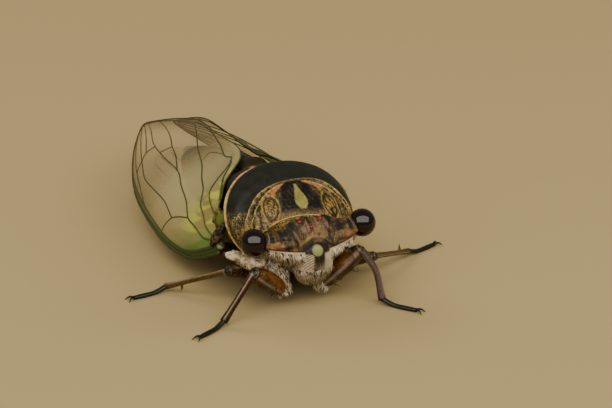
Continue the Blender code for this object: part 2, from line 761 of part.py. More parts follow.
def build_leg(pair, label):
    """Four pieces of a leg, each cut clear of the one before it."""
    hip, trochanter, knee, ankle, toe = [Vector(place) for place in LEG_JOINTS[(pair, label)]]
    name = f"{pair}_{{}}_{label}"
    coxa = [hip, hip.lerp(trochanter, 0.5), trochanter]
    femur = [trochanter, knee]
    tibia = [knee, ankle]
    instep = ankle.lerp(toe, INSTEP)
    instep.z = toe.z
    tarsus = [ankle, instep, toe]
    node(name.format("coxa"), cut(limb(coxa, COXA_RADII[pair], 4), body_blockers()), CREAM, 0.6)
    blockers = body_blockers() + [limb(coxa, COXA_RADII[pair], 4, GAP)]
    under = spines(trochanter, knee, FEMUR_RADII[pair], FEMUR_SPINES[pair], ankle - knee)
    thigh = join(limb(femur, FEMUR_RADII[pair]), under)
    node(name.format("femur"), cut(thigh, blockers), RUST)
    blockers = [limb(femur, FEMUR_RADII[pair], grow=GAP)]
    behind = spines(knee, ankle, TIBIA_RADII[pair], TIBIA_SPINES[pair], Vector((0, 1, -0.4)))
    shin = join(limb(tibia, TIBIA_RADII[pair]), behind)
    node(name.format("tibia"), cut(shin, blockers), DARK_BROWN)
    ahead = (toe - instep).normalized()
    claws = []
    for turn in (CLAW_SPREAD, -CLAW_SPREAD):
        tip = toe + Matrix.Rotation(turn, 3, "Z") @ ahead * CLAW_LENGTH
        tip.z = 0.05
        claws.append(cone(toe - ahead * CLAW_ROOT, tip, CLAW_ROOT))
    foot = join(limb(tarsus, TARSUS_RADII), claws)
    node(name.format("tarsus"), cut(foot, [limb(tibia, TIBIA_RADII[pair], grow=GAP), floor_block()]), BLACK)


def place_model():
    """Turn millimetres to metres and put the origin under the middle of the model."""
    corners = [vert.co for shape in nodes.values() for vert in shape.data.vertices]
    middle_x = (min(c.x for c in corners) + max(c.x for c in corners)) / 2
    middle_y = (min(c.y for c in corners) + max(c.y for c in corners)) / 2
    move = Matrix.Scale(MM, 4) @ Matrix.Translation((-middle_x, -middle_y, 0))
    parts = bpy.data.collections.new("cicada")
    bpy.context.scene.collection.children.link(parts)
    for shape in nodes.values():
        shape.data.transform(move)
        bpy.context.scene.collection.objects.unlink(shape)
        parts.objects.link(shape)


def main():
    for old in list(bpy.data.objects):
        bpy.data.objects.remove(old)
    build_head()
    build_trunk()
    build_wings()
    for pair, label in LEG_JOINTS:
        build_leg(pair, label)
    place_model()


main()
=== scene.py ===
import math

import bpy
import numpy as np
from mathutils import Matrix, Vector


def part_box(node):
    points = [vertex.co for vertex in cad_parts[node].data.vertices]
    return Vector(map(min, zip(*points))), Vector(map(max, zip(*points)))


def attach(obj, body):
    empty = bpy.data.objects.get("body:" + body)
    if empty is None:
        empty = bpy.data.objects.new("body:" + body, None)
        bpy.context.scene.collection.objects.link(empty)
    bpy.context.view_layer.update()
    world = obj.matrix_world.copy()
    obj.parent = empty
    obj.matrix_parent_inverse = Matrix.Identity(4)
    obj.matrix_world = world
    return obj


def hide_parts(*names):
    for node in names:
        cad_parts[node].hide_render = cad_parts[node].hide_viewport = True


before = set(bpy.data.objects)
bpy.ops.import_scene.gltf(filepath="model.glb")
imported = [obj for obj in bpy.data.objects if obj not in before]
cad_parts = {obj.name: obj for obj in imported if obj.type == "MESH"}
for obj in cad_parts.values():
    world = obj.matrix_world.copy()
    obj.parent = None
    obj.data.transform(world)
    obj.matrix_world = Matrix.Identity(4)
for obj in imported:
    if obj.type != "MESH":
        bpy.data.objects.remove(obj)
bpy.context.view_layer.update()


# The plain pale floor that the cicada stands on, a warm buff, under one large soft lamp in
# front of the head, a weaker one at its side and a third behind it for the rims.
FLOOR_SIZE = 6
FLOOR_PLACE = (0, 2, 0)
FLOOR_COLOUR = (0.355, 0.28, 0.145, 1)
FLOOR_ROUGHNESS = 0.85
SKY_COLOUR = (1.0, 0.94, 0.82, 1)
SKY_STRENGTH = 0.24
LAMP_AIM = Vector((0, 0, 0.005))
bpy.ops.object.select_all(action="DESELECT")
bpy.ops.mesh.primitive_plane_add(size=FLOOR_SIZE, location=FLOOR_PLACE)
floor = bpy.context.object
floor.name = "floor"
paint = bpy.data.materials.new("pale floor")
paint.use_nodes = True
paint.node_tree.nodes["Principled BSDF"].inputs["Base Color"].default_value = FLOOR_COLOUR
paint.node_tree.nodes["Principled BSDF"].inputs["Roughness"].default_value = FLOOR_ROUGHNESS
floor.data.materials.append(paint)

world = bpy.data.worlds.new("studio")
bpy.context.scene.world = world
world.use_nodes = True
world.node_tree.nodes["Background"].inputs["Color"].default_value = SKY_COLOUR
world.node_tree.nodes["Background"].inputs["Strength"].default_value = SKY_STRENGTH
bpy.context.scene.view_settings.look = "AgX - Medium High Contrast"
LAMPS = [
    ("key", (-0.07, -0.22, 0.27), (0.90, 0.36), 2.3, (1.0, 0.96, 0.9)),
    ("side", (0.30, 0.02, 0.20), (0.20, 0.20), 0.28, (1.0, 0.94, 0.85)),
    ("rim", (-0.12, 0.30, 0.24), (0.24, 0.16), 0.55, (1.0, 0.96, 0.9)),
]
for lamp_name, place, (width, depth), power, colour in LAMPS:
    bpy.ops.object.light_add(type="AREA", location=place)
    lamp = bpy.context.object
    lamp.name = lamp_name
    lamp.data.shape = "RECTANGLE"
    lamp.data.size = width
    lamp.data.size_y = depth
    lamp.data.energy = power
    lamp.data.color = colour
    lamp.visible_glossy = lamp_name == "key"
    lamp.rotation_euler = (LAMP_AIM - Vector(place)).to_track_quat("-Z", "Y").to_euler()


# The insect is laid out in millimetres: X to its own left, Y from its head to its wing tips
# and Z up from the floor. The middle of the left eye tells where the frame has put it, and
# the camera looks down on its face from its right, as the photograph was taken.
MM = 0.001
EYE_MIDDLE = np.array((5.741, 0.7, 7.281))
eye_low, eye_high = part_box("eye_left")
shift = (np.array(eye_low) + np.array(eye_high)) / 2 / MM - EYE_MIDDLE
shift[2] = 0
CAMERA_TURN = math.radians(22)
CAMERA_DROP = math.radians(23)
CAMERA_DISTANCE = 350
LOOK_AT = np.array((0, 0, 8.5))
LOOK_PIXEL = (311, 222)
PHOTO = (612, 408)
LENS = 210
SENSOR_WIDTH = 36
NEAREST_SEEN = 0.01
forward = np.array((
    math.sin(CAMERA_TURN) * math.cos(CAMERA_DROP),
    math.cos(CAMERA_TURN) * math.cos(CAMERA_DROP),
    -math.sin(CAMERA_DROP),
))
rightward = np.array((math.cos(CAMERA_TURN), -math.sin(CAMERA_TURN), 0))
upward = np.cross(rightward, forward)
bpy.ops.object.camera_add()
camera = bpy.context.object
turned = Matrix(np.stack([rightward, upward, -forward], axis=1).tolist()).to_4x4()
spot = (LOOK_AT + shift - forward * CAMERA_DISTANCE) * MM
camera.matrix_world = Matrix.Translation(spot) @ turned
camera.data.lens = LENS
camera.data.sensor_width = SENSOR_WIDTH
camera.data.shift_x = (PHOTO[0] / 2 - LOOK_PIXEL[0]) / PHOTO[0]
camera.data.shift_y = (LOOK_PIXEL[1] - PHOTO[1] / 2) / PHOTO[0]
camera.data.clip_start = NEAREST_SEEN
bpy.context.scene.camera = camera


# The pronotum: the broad shield of hard, smooth chitin behind the head, black with an olive
# mark, rust patches and gold scribble, and a raised collar along its rear. It is one plate,
# swept through leaning rings, its grooves and ridges carved in the surface.
BODY_LEAN = 5
BODY_SHIFT = np.array((-0.5, 0, 0))
ROLL_HEIGHT = 7.0
PRONOTUM_ROWS = [
    (0.7, 0.9, 4.5, 9.05, 3.6),
    (1.5, 1.0, 5.1, 9.65, 3.5),
    (2.7, 1.15, 5.7, 10.4, 3.4),
    (4.0, 1.3, 6.0, 10.95, 3.3),
    (4.6, 1.45, 6.3, 11.1, 3.2),
    (5.5, 1.6, 6.5, 11.6, 3.1),
    (6.7, 1.8, 6.6, 12.0, 3.1),
    (7.6, 1.95, 6.6, 12.15, 3.1),
    (7.9, 2.1, 6.35, 11.9, 3.2),
]
THORAX_SQUARE = 2.1
BLACK = np.array((0.010, 0.009, 0.007))
COLLAR_BLACK = np.array((0.019, 0.021, 0.015))
UMBER = np.array((0.075, 0.046, 0.022))
GOLD = np.array((0.47, 0.30, 0.075))
PALE_GOLD = np.array((0.64, 0.45, 0.16))
RUST = np.array((0.42, 0.19, 0.08))
OLIVE = np.array((0.27, 0.235, 0.08))
WAX = np.array((0.72, 0.60, 0.42))
HEM_PINK = np.array((0.62, 0.30, 0.17))
WAVES = 9
GRAIN_SCALE = 5200
CLOUD_SCALE = 1100
BUMP_DEPTH = 0.0001


def along(rows, share):
    """Values at shares from 0 to 1 of a smooth line through evenly spaced rows."""
    rows = np.array(rows, float).reshape(len(rows), -1)
    last = len(rows) - 1
    place = np.clip(np.asarray(share, float), 0, 1) * last
    index = np.minimum(place.astype(int), last - 1)
    step = (place - index)[:, None]
    before = rows[np.maximum(index - 1, 0)]
    start = rows[index]
    end = rows[index + 1]
    after = rows[np.minimum(index + 2, last)]
    curve = (2 * before - 5 * start + 4 * end - after) * step ** 2
    twist = (3 * start - before - 3 * end + after) * step ** 3
    return (2 * start + (end - before) * step + curve + twist) / 2


def rounded(turn, square):
    """Points round a circle that a power above 2 makes more square."""
    across = np.sign(np.cos(turn)) * np.abs(np.cos(turn)) ** (2 / square)
    up = np.sign(np.sin(turn)) * np.abs(np.sin(turn)) ** (2 / square)
    return across, up


def domed(share, cap):
    """Share along a body between its domed ends, the size of its ring and its end's bulge."""
    front = np.clip(share / cap, 0, 1) * math.pi / 2
    back = np.clip((1 - share) / cap, 0, 1) * math.pi / 2
    size = np.minimum(np.sin(front), np.sin(back))
    return np.clip((share - cap) / (1 - 2 * cap), 0, 1), size, np.cos(back) - np.cos(front)


def roll(spots, degrees, move):
    """Turn points about the line along the insect's middle, and move them."""
    turn = math.radians(degrees)
    x = spots[:, 0]
    z = spots[:, 2] - ROLL_HEIGHT
    turned_x = x * math.cos(turn) + z * math.sin(turn)
    turned_z = z * math.cos(turn) - x * math.sin(turn) + ROLL_HEIGHT
    return np.stack([turned_x, spots[:, 1], turned_z], axis=1) + move


def lean(spots):
    return roll(spots, BODY_LEAN, BODY_SHIFT)


def facing(base, turn, share):
    """Outward direction of a surface at each of its points, and how far it spreads there."""
    step = 0.002
    lengthwise = base(turn, share + step) - base(turn, share - step)
    crosswise = base(turn + step, share) - base(turn - step, share)
    out = np.cross(lengthwise, crosswise)
    size = np.maximum(np.linalg.norm(out, axis=1), 1e-9)
    return out / size[:, None], size


def bump_at(value, middle, width):
    """Smooth hump of height 1 round a value."""
    return np.exp(-((value - middle) / width) ** 2)


def blend_at(value, start, end):
    """Smooth step from 0 at start to 1 at end."""
    step = np.clip((value - start) / (end - start), 0, 1)
    return step * step * (3 - 2 * step)


def tint(colours, share, colour):
    """Colours mixed towards another by a share for each point."""
    return colours + (colour - colours) * np.clip(share, 0, 1)[:, None]


def layered(base, spots, *layers):
    """Colour of each point: a base colour with others laid over it in turn by their shares."""
    colours = np.tile(base, (len(spots), 1))
    for share, colour in layers:
        colours = tint(colours, share, colour)
    return colours


def wobble(spots, scale, seed, stretch=(1, 1, 1)):
    """Soft waves over space, from -1 to 1, made of a few crossing sines."""
    waves = np.random.default_rng(seed).normal(size=(WAVES, 3)) / scale / np.array(stretch)
    phases = np.random.default_rng(seed + 1).uniform(0, math.tau, WAVES)
    return np.mean(np.sin(spots @ waves.T + phases), axis=1) * 2.1


def to_frame(spots, settle):
    """Places in the frame, in metres, of points laid out in millimetres."""
    return (settle(spots) + shift) * MM


def points_of(piece):
    spots = np.empty(len(piece.data.vertices) * 3)
    piece.data.vertices.foreach_get("co", spots)
    return spots.reshape(-1, 3)


def lay_dye(mesh, colours):
    """Give a mesh its colours. A fourth number tells how thick the gilt granules lie."""
    if colours.shape[1] == 3:
        colours = np.c_[colours, np.zeros(len(colours))]
    mesh.color_attributes.new("dye", "FLOAT_COLOR", "POINT").data.foreach_set("color", colours.ravel())


def close_up(merge=0):
    """Merge points of the active piece that lie this near, and turn its faces outwards."""
    bpy.ops.object.mode_set(mode="EDIT")
    bpy.ops.mesh.select_all(action="SELECT")
    if merge:
        bpy.ops.mesh.remove_doubles(threshold=merge)
    bpy.ops.mesh.normals_make_consistent(inside=False)
    bpy.ops.object.mode_set(mode="OBJECT")


def shell(name, turns, rings, base, relief, dye, settle=lean):
    """Closed plate from a ball: base places its points, relief raises them and dye colours
    them, and settle lays the plate on its part of the body."""
    bpy.ops.object.select_all(action="DESELECT")
    bpy.ops.mesh.primitive_uv_sphere_add(segments=turns, ring_count=rings, radius=1)
    piece = bpy.context.object
    piece.name = name
    piece.data.name = name
    ball = points_of(piece)
    turn = np.arctan2(ball[:, 1], ball[:, 0])
    share = np.arccos(np.clip(ball[:, 2], -1, 1)) / math.pi
    spots = base(turn, share)
    raised = spots
    if relief:
        raised = spots + facing(base, turn, share)[0] * relief(spots, share, turn)[:, None]
    piece.data.vertices.foreach_set("co", to_frame(raised, settle).ravel())
    lay_dye(piece.data, dye(spots, share, turn))
    close_up()
    bpy.ops.object.shade_smooth()
    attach(piece, "root")
    return piece


def dress(piece, material, slot, *nodes):
    """Give a piece its material, and hide the imported parts of the nodes that it stands for. The slot is
    not used.
    """
    piece.data.materials.clear()
    piece.data.materials.append(material)
    if nodes:
        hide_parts(*nodes)


def feed(node, inputs):
    """Give a node's sockets their values, or the wires that lead to them."""
    for key, value in inputs.items():
        if isinstance(value, Wire):
            value.tree.links.new(value.socket, node.inputs[key])
        else:
            node.inputs[key].default_value = value


class Wire:
    """A node's output in a material, so that shader maths is written as an expression."""

    def __init__(self, tree, socket=None):
        self.tree = tree
        self.socket = socket

    def node(self, kind, settings, inputs, output=0):
        """Add a node: its settings first, then the values or wires of its sockets."""
        made = self.tree.nodes.new(f"ShaderNode{kind}")
        for key, value in settings.items():
            setattr(made, key, value)
        feed(made, inputs)
        return Wire(self.tree, made.outputs[output])

    def math(self, operation, *values):
        return self.node("Math", {"operation": operation}, dict(enumerate(values)))

    def __add__(self, other):
        return self.math("ADD", self, other)

    def __radd__(self, other):
        return self.math("ADD", other, self)

    def __sub__(self, other):
        return self.math("SUBTRACT", self, other)

    def __rsub__(self, other):
        return self.math("SUBTRACT", other, self)

    def __mul__(self, other):
        return self.math("MULTIPLY", self, other)

    def __rmul__(self, other):
        return self.math("MULTIPLY", other, self)


def mix(wires, share, start, end, blend="MIX"):
    """Colour between two, or one laid over the other, by a share."""
    return wires.node("Mix", {"data_type": "RGBA", "blend_type": blend}, {0: share, 6: start, 7: end}, 2)


def start_material(name):
    """New material: itself, its shader, a wire in its tree, and the place on the piece."""
    material = bpy.data.materials.new(name)
    material.use_nodes = True
    wires = Wire(material.node_tree)
    place = wires.node("TexCoord", {}, {}, "Object")
    return material, material.node_tree.nodes["Principled BSDF"], wires, place


def finish(name, roughness, coat=0.0, grain=0.25, grit=8500, bump=0.15, specular=0.35):
    """Chitin: its dye broken by a fine grain, and gilt granules where the dye asks for them."""
    material, shader, wires, place = start_material(name)
    dye = wires.node("Attribute", {"attribute_name": "dye"}, {}, "Color")
    gilt = wires.node("Attribute", {"attribute_name": "dye"}, {}, "Alpha")
    fine = wires.node("TexNoise", {}, {"Vector": place, "Scale": GRAIN_SCALE, "Detail": 3})
    broad = wires.node("TexNoise", {}, {"Vector": place, "Scale": CLOUD_SCALE, "Detail": 2})
    cells = wires.node("TexVoronoi", {}, {"Vector": place, "Scale": grit})
    granule = wires.node("Clamp", {}, {0: (gilt * (broad + 0.22) - cells) * 7})
    shade = (fine + broad - 1.0) * grain * 2 + 1.0
    grey = wires.node("CombineColor", {}, {0: shade, 1: shade, 2: shade})
    gold = mix(wires, fine, (*GOLD * 0.35, 1), (*PALE_GOLD * 0.85, 1))
    height = fine * 0.4 + broad * 0.4 + granule * 0.5
    feed(shader, {
        "Base Color": mix(wires, granule, mix(wires, 1.0, dye, grey, "MULTIPLY"), gold),
        "Roughness": (broad - 0.5) * 0.3 + granule * 0.2 + roughness,
        "Normal": wires.node("Bump", {}, {"Strength": bump, "Distance": BUMP_DEPTH, "Height": height}),
        "Coat Weight": coat,
        "Coat Roughness": 0.12,
        "Specular IOR Level": specular,
    })
    return material


def leaning_rings(rows, cap, bulging):
    """Body through rings that lean back. Each row has the places of the ring's top and bottom
    along the body, its half width, and the heights of its top and bottom."""
    def base(turn, share):
        inner, size, bulge = domed(share, cap)
        y_top, y_bottom, half, top, bottom = along(rows, inner).T
        across, up = rounded(turn, THORAX_SQUARE)
        middle = (top + bottom) / 2
        z = middle + up * (top - middle) * size
        y = y_bottom + (y_top - y_bottom) / (top - bottom) * (z - bottom) + bulge * bulging
        return np.stack([across * half * size, y, z], axis=1)
    return base


def pronotum_marks(spots, share):
    """Shares of each marking and furrow over the shield, from its places in millimetres."""
    x, y, z = spots.T
    side = np.abs(x)
    behind = y - (4.78 - 0.012 * side ** 2 - 0.0016 * side ** 4 + 0.1 * x)
    upper = blend_at(z, 7.2, 8.2)
    disc = blend_at(behind, 0.1, -0.1) * blend_at(z, 6.4, 7.6)
    marks = {"disc": disc, "behind": behind}
    inner_ridge = bump_at(behind + 0.2 * side, 0, 0.06) * blend_at(side, 0.7, 1.4)
    marks["ridge"] = np.maximum(bump_at(behind, 0, 0.065), inner_ridge) * upper
    marks["furrow"] = bump_at(behind + 0.1 * side, 0, 0.05 + 0.035 * side) * upper * (1 - marks["ridge"])
    side_line = 8.75 - 0.3 * (y - 2.9)
    marks["granules"] = blend_at(z, side_line + 0.35, side_line - 0.25) * blend_at(share, 0.05, 0.08)
    from_hem = share - 0.80 - 0.05 * blend_at(z, 8.6, 11.0) + 0.006 * wobble(spots, 0.4, 29)
    marks["hem"] = blend_at(from_hem, 0, 0.02) * blend_at(side, 1.0, 2.4)
    marks["hem_line"] = bump_at(from_hem, 0.004, 0.007) * marks["hem"]
    marks["hem_rise"] = (
        blend_at(from_hem, 0, 0.04) * blend_at(share, 0.95, 0.92) * blend_at(side, 0.8, 3.0)
        * blend_at(z, 12.0, 10.8)
    )
    marks["front"] = bump_at(share, 0.053, 0.006) * blend_at(z, 7.6, 8.2)
    # The nape, the front of the shield that runs in under the head, is darkened below as painted shade.
    marks["nape"] = blend_at(share, 0.05, 0.04)
    wedge = 0.15 + 0.5 * blend_at(y, 4.1, 2.0) - 0.35 * blend_at(y, 1.9, 1.2)
    marks["olive"] = (
        blend_at(np.abs(x - 0.05) - wedge, 0.05, -0.05)
        * blend_at(y, 1.15, 1.45) * blend_at(y, 4.3, 4.05)
    )
    marks["band"] = (
        blend_at(side - 1.3 - 0.33 * (4.2 - y), 0.14, -0.14) * blend_at(y, 1.0, 1.45)
        * blend_at(behind, -0.1, -0.3)
    )
    stripe = behind + 0.30 + 0.45 * (side - 1.2)
    marks["rust"] = (
        blend_at(np.abs(stripe) - 0.12 - 0.17 * (side - 1.0), 0.07, -0.07)
        * blend_at(side, 0.85, 1.15) * blend_at(side, 3.1, 2.3)
    )
    oval = np.hypot((side - 3.15) / 0.82, (y - 2.05) / 1.27)
    marks["oval"] = blend_at(oval, 1.1, 0.95) * disc
    marks["oval_rim"] = bump_at(oval, 1.02, 0.09) * disc
    marks["oval_groove"] = bump_at(oval, 0.82, 0.08) * disc
    hook = np.hypot((side - 3.0) / 0.42, (y - 2.45) / 0.5)
    marks["hook"] = bump_at(hook, 0.75, 0.22) * blend_at(y - 0.6 * side, 0.2, 0.5) * disc
    inner_groove = bump_at(side - 4.3 + 0.12 * (y - 2), 0, 0.1)
    outer_groove = bump_at(side - 4.95 + 0.2 * (y - 2), 0, 0.1)
    marks["lateral"] = (inner_groove + outer_groove) * blend_at(y, 3.3, 2.9) * disc
    return marks


def pronotum_relief(spots, share, turn):
    marks = pronotum_marks(spots, share)
    rise = 0.09 * marks["ridge"] - 0.08 * marks["furrow"] + 0.27 * marks["hem_rise"]
    rise += 0.05 * marks["oval_rim"] - 0.07 * marks["oval_groove"] - 0.05 * marks["hook"]
    rise -= 0.1 * marks["lateral"]
    rise += 0.03 * marks["granules"] * np.clip(wobble(spots, 0.06, 3), 0, 1)
    return rise + 0.022 * marks["disc"] * wobble(spots, 0.1, 7) + 0.012 * wobble(spots, 0.5, 9)


def pronotum_colour_and_shade(spots, share, turn):
    marks = pronotum_marks(spots, share)
    x, y, z = spots.T
    side = np.abs(x)
    disc = marks["disc"]
    striae = wobble(spots, 0.075, 21, (1, 4, 2))
    broken = 0.5 + 0.5 * wobble(spots, 0.14, 25)
    line = bump_at(wobble(spots, 0.17, 27), 0, 0.2)
    scrawl = np.maximum.reduce([marks["oval_groove"], marks["hook"], line * marks["oval"]])
    brown = disc * blend_at(y, 1.5, 1.15) * blend_at(side, 2.9, 2.2)
    glint = (0.2 + 0.75 * broken) * (0.4 + 0.6 * blend_at(z, 11.4, 10.2))
    waxy = np.maximum(blend_at(z, 5.0, 4.3), blend_at(z, 6.3, 5.6) * blend_at(y, 2.0, 1.4))
    hem = layered(
        PALE_GOLD * 0.8, spots,
        (blend_at(z, 9.8, 10.8), HEM_PINK),
        (marks["hem_line"] * 0.8, OLIVE * (0.4, 0.8, 0.4)),
        (blend_at(striae, 0.0, 0.8) * 0.5, UMBER * 1.5),
    )
    colours = layered(
        COLLAR_BLACK, spots,
        (disc * (0.35 + 0.5 * striae), UMBER),
        (disc * blend_at(side, 1.9, 2.6) * line * (1 - marks["oval"]) * 0.7, GOLD),
        (marks["oval"] * (0.5 + 0.4 * striae), GOLD * 0.7),
        (marks["rust"] * (0.8 + 0.2 * striae), RUST),
        (marks["band"] * (1 - marks["rust"]), BLACK),
        (marks["band"] * blend_at(striae, 0.1, 0.9) * 0.3, UMBER * 1.5),
        (brown * (0.6 + 0.4 * striae), UMBER * 1.3),
        (marks["olive"] * (0.9 + 0.1 * striae), OLIVE),
        (marks["oval_rim"] * (0.2 + 0.6 * broken), GOLD * 0.9),
        (scrawl * 0.95, BLACK),
        (marks["lateral"] * 0.9, BLACK),
        (marks["furrow"] * 0.85, BLACK),
        (marks["ridge"] * glint, PALE_GOLD),
        (marks["hem"] * 0.85, hem),
        # Painted shade on the nape under the head; its granules are the chitin's own.
        (marks["nape"] * 0.9, UMBER * 0.5),
        (marks["front"] * blend_at(side, 4.2, 3.2) * 0.9, PALE_GOLD),
        (waxy * (1 - marks["hem"]) * 0.95, WAX),
    )
    plain = np.maximum.reduce([marks["band"], marks["rust"], marks["olive"], marks["front"]])
    gilt = np.maximum(0.66 * marks["granules"] * (1 - waxy), 0.4 * disc * (1 - plain))
    gilt = np.maximum(gilt, 0.66 * marks["oval"]) * (1 - scrawl) * (1 - 0.8 * marks["lateral"])
    gilt += 0.1 * marks["furrow"] + 0.2 * bump_at(marks["behind"], 0.35, 0.25) * (1 - plain)
    gilt *= (1 - marks["hem"]) * (1 - 0.7 * marks["olive"])
    return np.c_[colours, gilt + 0.35 * marks["nape"]]


pronotum_base = leaning_rings(PRONOTUM_ROWS, 0.05, 0.12)
pronotum = shell("pronotum_shield", 400, 200, pronotum_base, pronotum_relief, pronotum_colour_and_shade)
dress(pronotum, finish("black shield", 0.4, coat=0.05, grain=0.35, grit=10000), "notum", "pronotum")


# The mesonotum: the second shield, mostly under the collar's rear edge and the wing bases,
# black with two rust stripes. Below the wing bases is the thorax, pale under waxy bloom. Both
# are one swept body.
MESOTHORAX_ROWS = [
    (8.25, 2.5, 5.3, 11.1, 2.9),
    (9.0, 3.3, 5.5, 11.3, 2.5),
    (10.2, 5.8, 5.5, 11.0, 2.2),
    (11.7, 9.0, 5.4, 10.3, 2.2),
    (13.2, 12.3, 5.1, 9.4, 2.2),
    (14.4, 14.4, 4.6, 8.7, 2.2),
]
CREAM = np.array((0.62, 0.51, 0.35))


def mesothorax_relief(spots, share, turn):
    x, y, z = spots.T
    seam = bump_at(z, 8.45, 0.18) + bump_at(np.abs(x) - 1.5 - 0.25 * (y - 9), 0, 0.15) * (z > 9)
    return 0.02 * wobble(spots, 0.6, 31) - 0.12 * seam


def mesothorax_dye(spots, share, turn):
    x, y, z = spots.T
    stripe = bump_at(np.abs(x) - 0.9 - 0.35 * (13.5 - y), 0, 0.3) * blend_at(z, 8.6, 9.2)
    return layered(
        BLACK, spots,
        (stripe * 0.9, RUST),
        (blend_at(z, 8.6, 9.6) * (1 - stripe) * 0.6, BLACK * (1.6, 3.6, 1.5)),
        (blend_at(z, 8.5, 7.9) * 0.5, UMBER * 0.4),
        (blend_at(z, 6.2, 4.2) * (0.8 + 0.2 * wobble(spots, 0.3, 33)), CREAM),
    )


mesothorax_base = leaning_rings(MESOTHORAX_ROWS, 0.06, 0.15)
mesothorax = shell("mesothorax", 200, 110, mesothorax_base, mesothorax_relief, mesothorax_dye)
dress(mesothorax, finish("mesothorax shell", 0.42, grain=0.35), "notum", "mesonotum", "thorax")


# The cruciform elevation: the small X-shaped cushion at the rear of the mesonotum, its olive
# darkened as painted shade and browner in the middle, whose arms run out to the wing bases.
CRUCIFORM_PLACE = np.array((0.0, 15.0, 8.9))
CRUCIFORM_RADII = np.array((1.8, 1.5, 0.75))


def oval(turn, share, place, radii):
    """Points of an egg shape with its poles up and down."""
    ring = np.sin(share * math.pi)
    outward = np.stack([np.cos(turn) * ring, np.sin(turn) * ring, np.cos(share * math.pi)], axis=1)
    return place + outward * radii


def cruciform_base(turn, share):
    arms = 0.14 * np.cos(4 * (turn - math.pi / 4)) * np.sin(share * math.pi) ** 2
    flat = oval(turn, share, 0, CRUCIFORM_RADII) * np.array((1, 1, 0))
    return oval(turn, share, CRUCIFORM_PLACE, CRUCIFORM_RADII) + arms[:, None] * flat


def cruciform_colour_and_shade(spots, share, turn):
    middle = np.hypot(spots[:, 0], spots[:, 1] - CRUCIFORM_PLACE[1])
    # The olive is darkened to a tenth as painted shade; the middle goes browner.
    return layered(OLIVE * 0.1, spots, (blend_at(middle, 0.9, 0.4), UMBER * 0.3))


cruciform = shell("cruciform_cushion", 64, 40, cruciform_base, None, cruciform_colour_and_shade)
dress(cruciform, finish("olive cushion with painted shade", 0.4, grain=0.3), "notum", "cruciform_elevation")


# The abdomen: seven overlapping rings of black chitin with silvery down, then the pointed
# tip. Each ring's rear edge stands a little over the next, and the tip is a separate cone.
ABDOMEN_ROWS = [
    (14.7, 4.4, 8.4, 2.0),
    (17.0, 4.6, 8.3, 1.7),
    (20.0, 4.4, 8.0, 1.6),
    (23.0, 3.9, 7.5, 1.7),
    (26.0, 3.2, 6.9, 2.0),
    (29.6, 2.1, 5.7, 2.7),
    (32.8, 0.6, 4.5, 3.7),
]
ABDOMEN_START = ABDOMEN_ROWS[0][0]
ABDOMEN_BREAK = 29.6
ABDOMEN_END = ABDOMEN_ROWS[-1][0]
RINGS_OF_PLATES = 7
PLATE_STEP = 0.06


def abdomen_ring(y):
    """Half width, top and bottom of the abdomen at places along it."""
    ys, *sizes = np.array(ABDOMEN_ROWS).T
    return [np.interp(y, ys, size) for size in sizes]


def abdomen_part(start, end, plates):
    def base(turn, share):
        inner, size, bulge = domed(share, 0.03)
        y = start + (end - start) * inner
        half, top, bottom = abdomen_ring(y)
        place = (inner * plates) % 1.0
        step = 1 - PLATE_STEP * blend_at(place, 0.35, 0.0) - PLATE_STEP * blend_at(place, 0.95, 1.0)
        step = np.where(inner >= 1, 1 - PLATE_STEP, step)
        across, up = rounded(turn, 2.0)
        middle = (top + bottom) / 2
        z = middle + up * (top - middle) * size * step
        return np.stack([across * half * size * step, y + bulge * 0.1, z], axis=1)
    return base


def abdomen_dye(spots, share, turn):
    y, z = spots.T[1:]
    half, top, bottom = abdomen_ring(y)
    low = blend_at(z, (top + bottom) / 2 - 0.5, bottom + 1.0)
    plate = (y - ABDOMEN_START) / (ABDOMEN_BREAK - ABDOMEN_START) * RINGS_OF_PLATES % 1
    return layered(
        BLACK * 1.4, spots,
        (low * 0.75, CREAM * 0.7),
        (blend_at(plate, 0.88, 0.97) * 0.6, UMBER * 1.6),
    )


abdomen_finish = finish("abdomen shell", 0.42, grain=0.35)
abdomen_base = abdomen_part(ABDOMEN_START, ABDOMEN_BREAK, RINGS_OF_PLATES)
abdomen = shell("abdomen_rings", 130, 240, abdomen_base, None, abdomen_dye)
dress(abdomen, abdomen_finish, "abdomen", "abdomen")
tip_base = abdomen_part(ABDOMEN_BREAK - 0.1, ABDOMEN_END, 2)
abdomen_tip = shell("abdomen_point", 96, 90, tip_base, None, abdomen_dye)
dress(abdomen_tip, abdomen_finish, "abdomen", "abdomen_tip")


# The opercula, two waxy cream plates below the abdomen's root that cover the drums, and the
# tymbal covers, small dark blisters on its sides. Each is a flattened egg.
OPERCULUM = (np.array((2.6, 14.1, 2.1)), np.array((2.0, 2.1, 1.1)))
TYMBAL = (np.array((4.5, 16.2, 4.6)), np.array((0.85, 1.1, 0.95)))
SIDES = {"left": np.array((1, 1, 1)), "right": np.array((-1, 1, 1))}


def egg(place, radii):
    return lambda turn, share: oval(turn, share, place, radii)


def plain_dye(colour):
    return lambda spots, share, turn: np.tile(colour, (len(spots), 1))


operculum_finish = finish("waxy plate", 0.6, grain=0.3)
for label, side in SIDES.items():
    plate_base = egg(OPERCULUM[0] * side, OPERCULUM[1])
    plate = shell(f"operculum_plate_{label}", 64, 40, plate_base, None, plain_dye(CREAM * 0.8))
    dress(plate, operculum_finish, "operculum", f"operculum_{label}")
    cover_base = egg(TYMBAL[0] * side, TYMBAL[1])
    cover = shell(f"tymbal_blister_{label}", 48, 32, cover_base, None, plain_dye(UMBER))
    dress(cover, abdomen_finish, "abdomen", f"tymbal_cover_{label}")


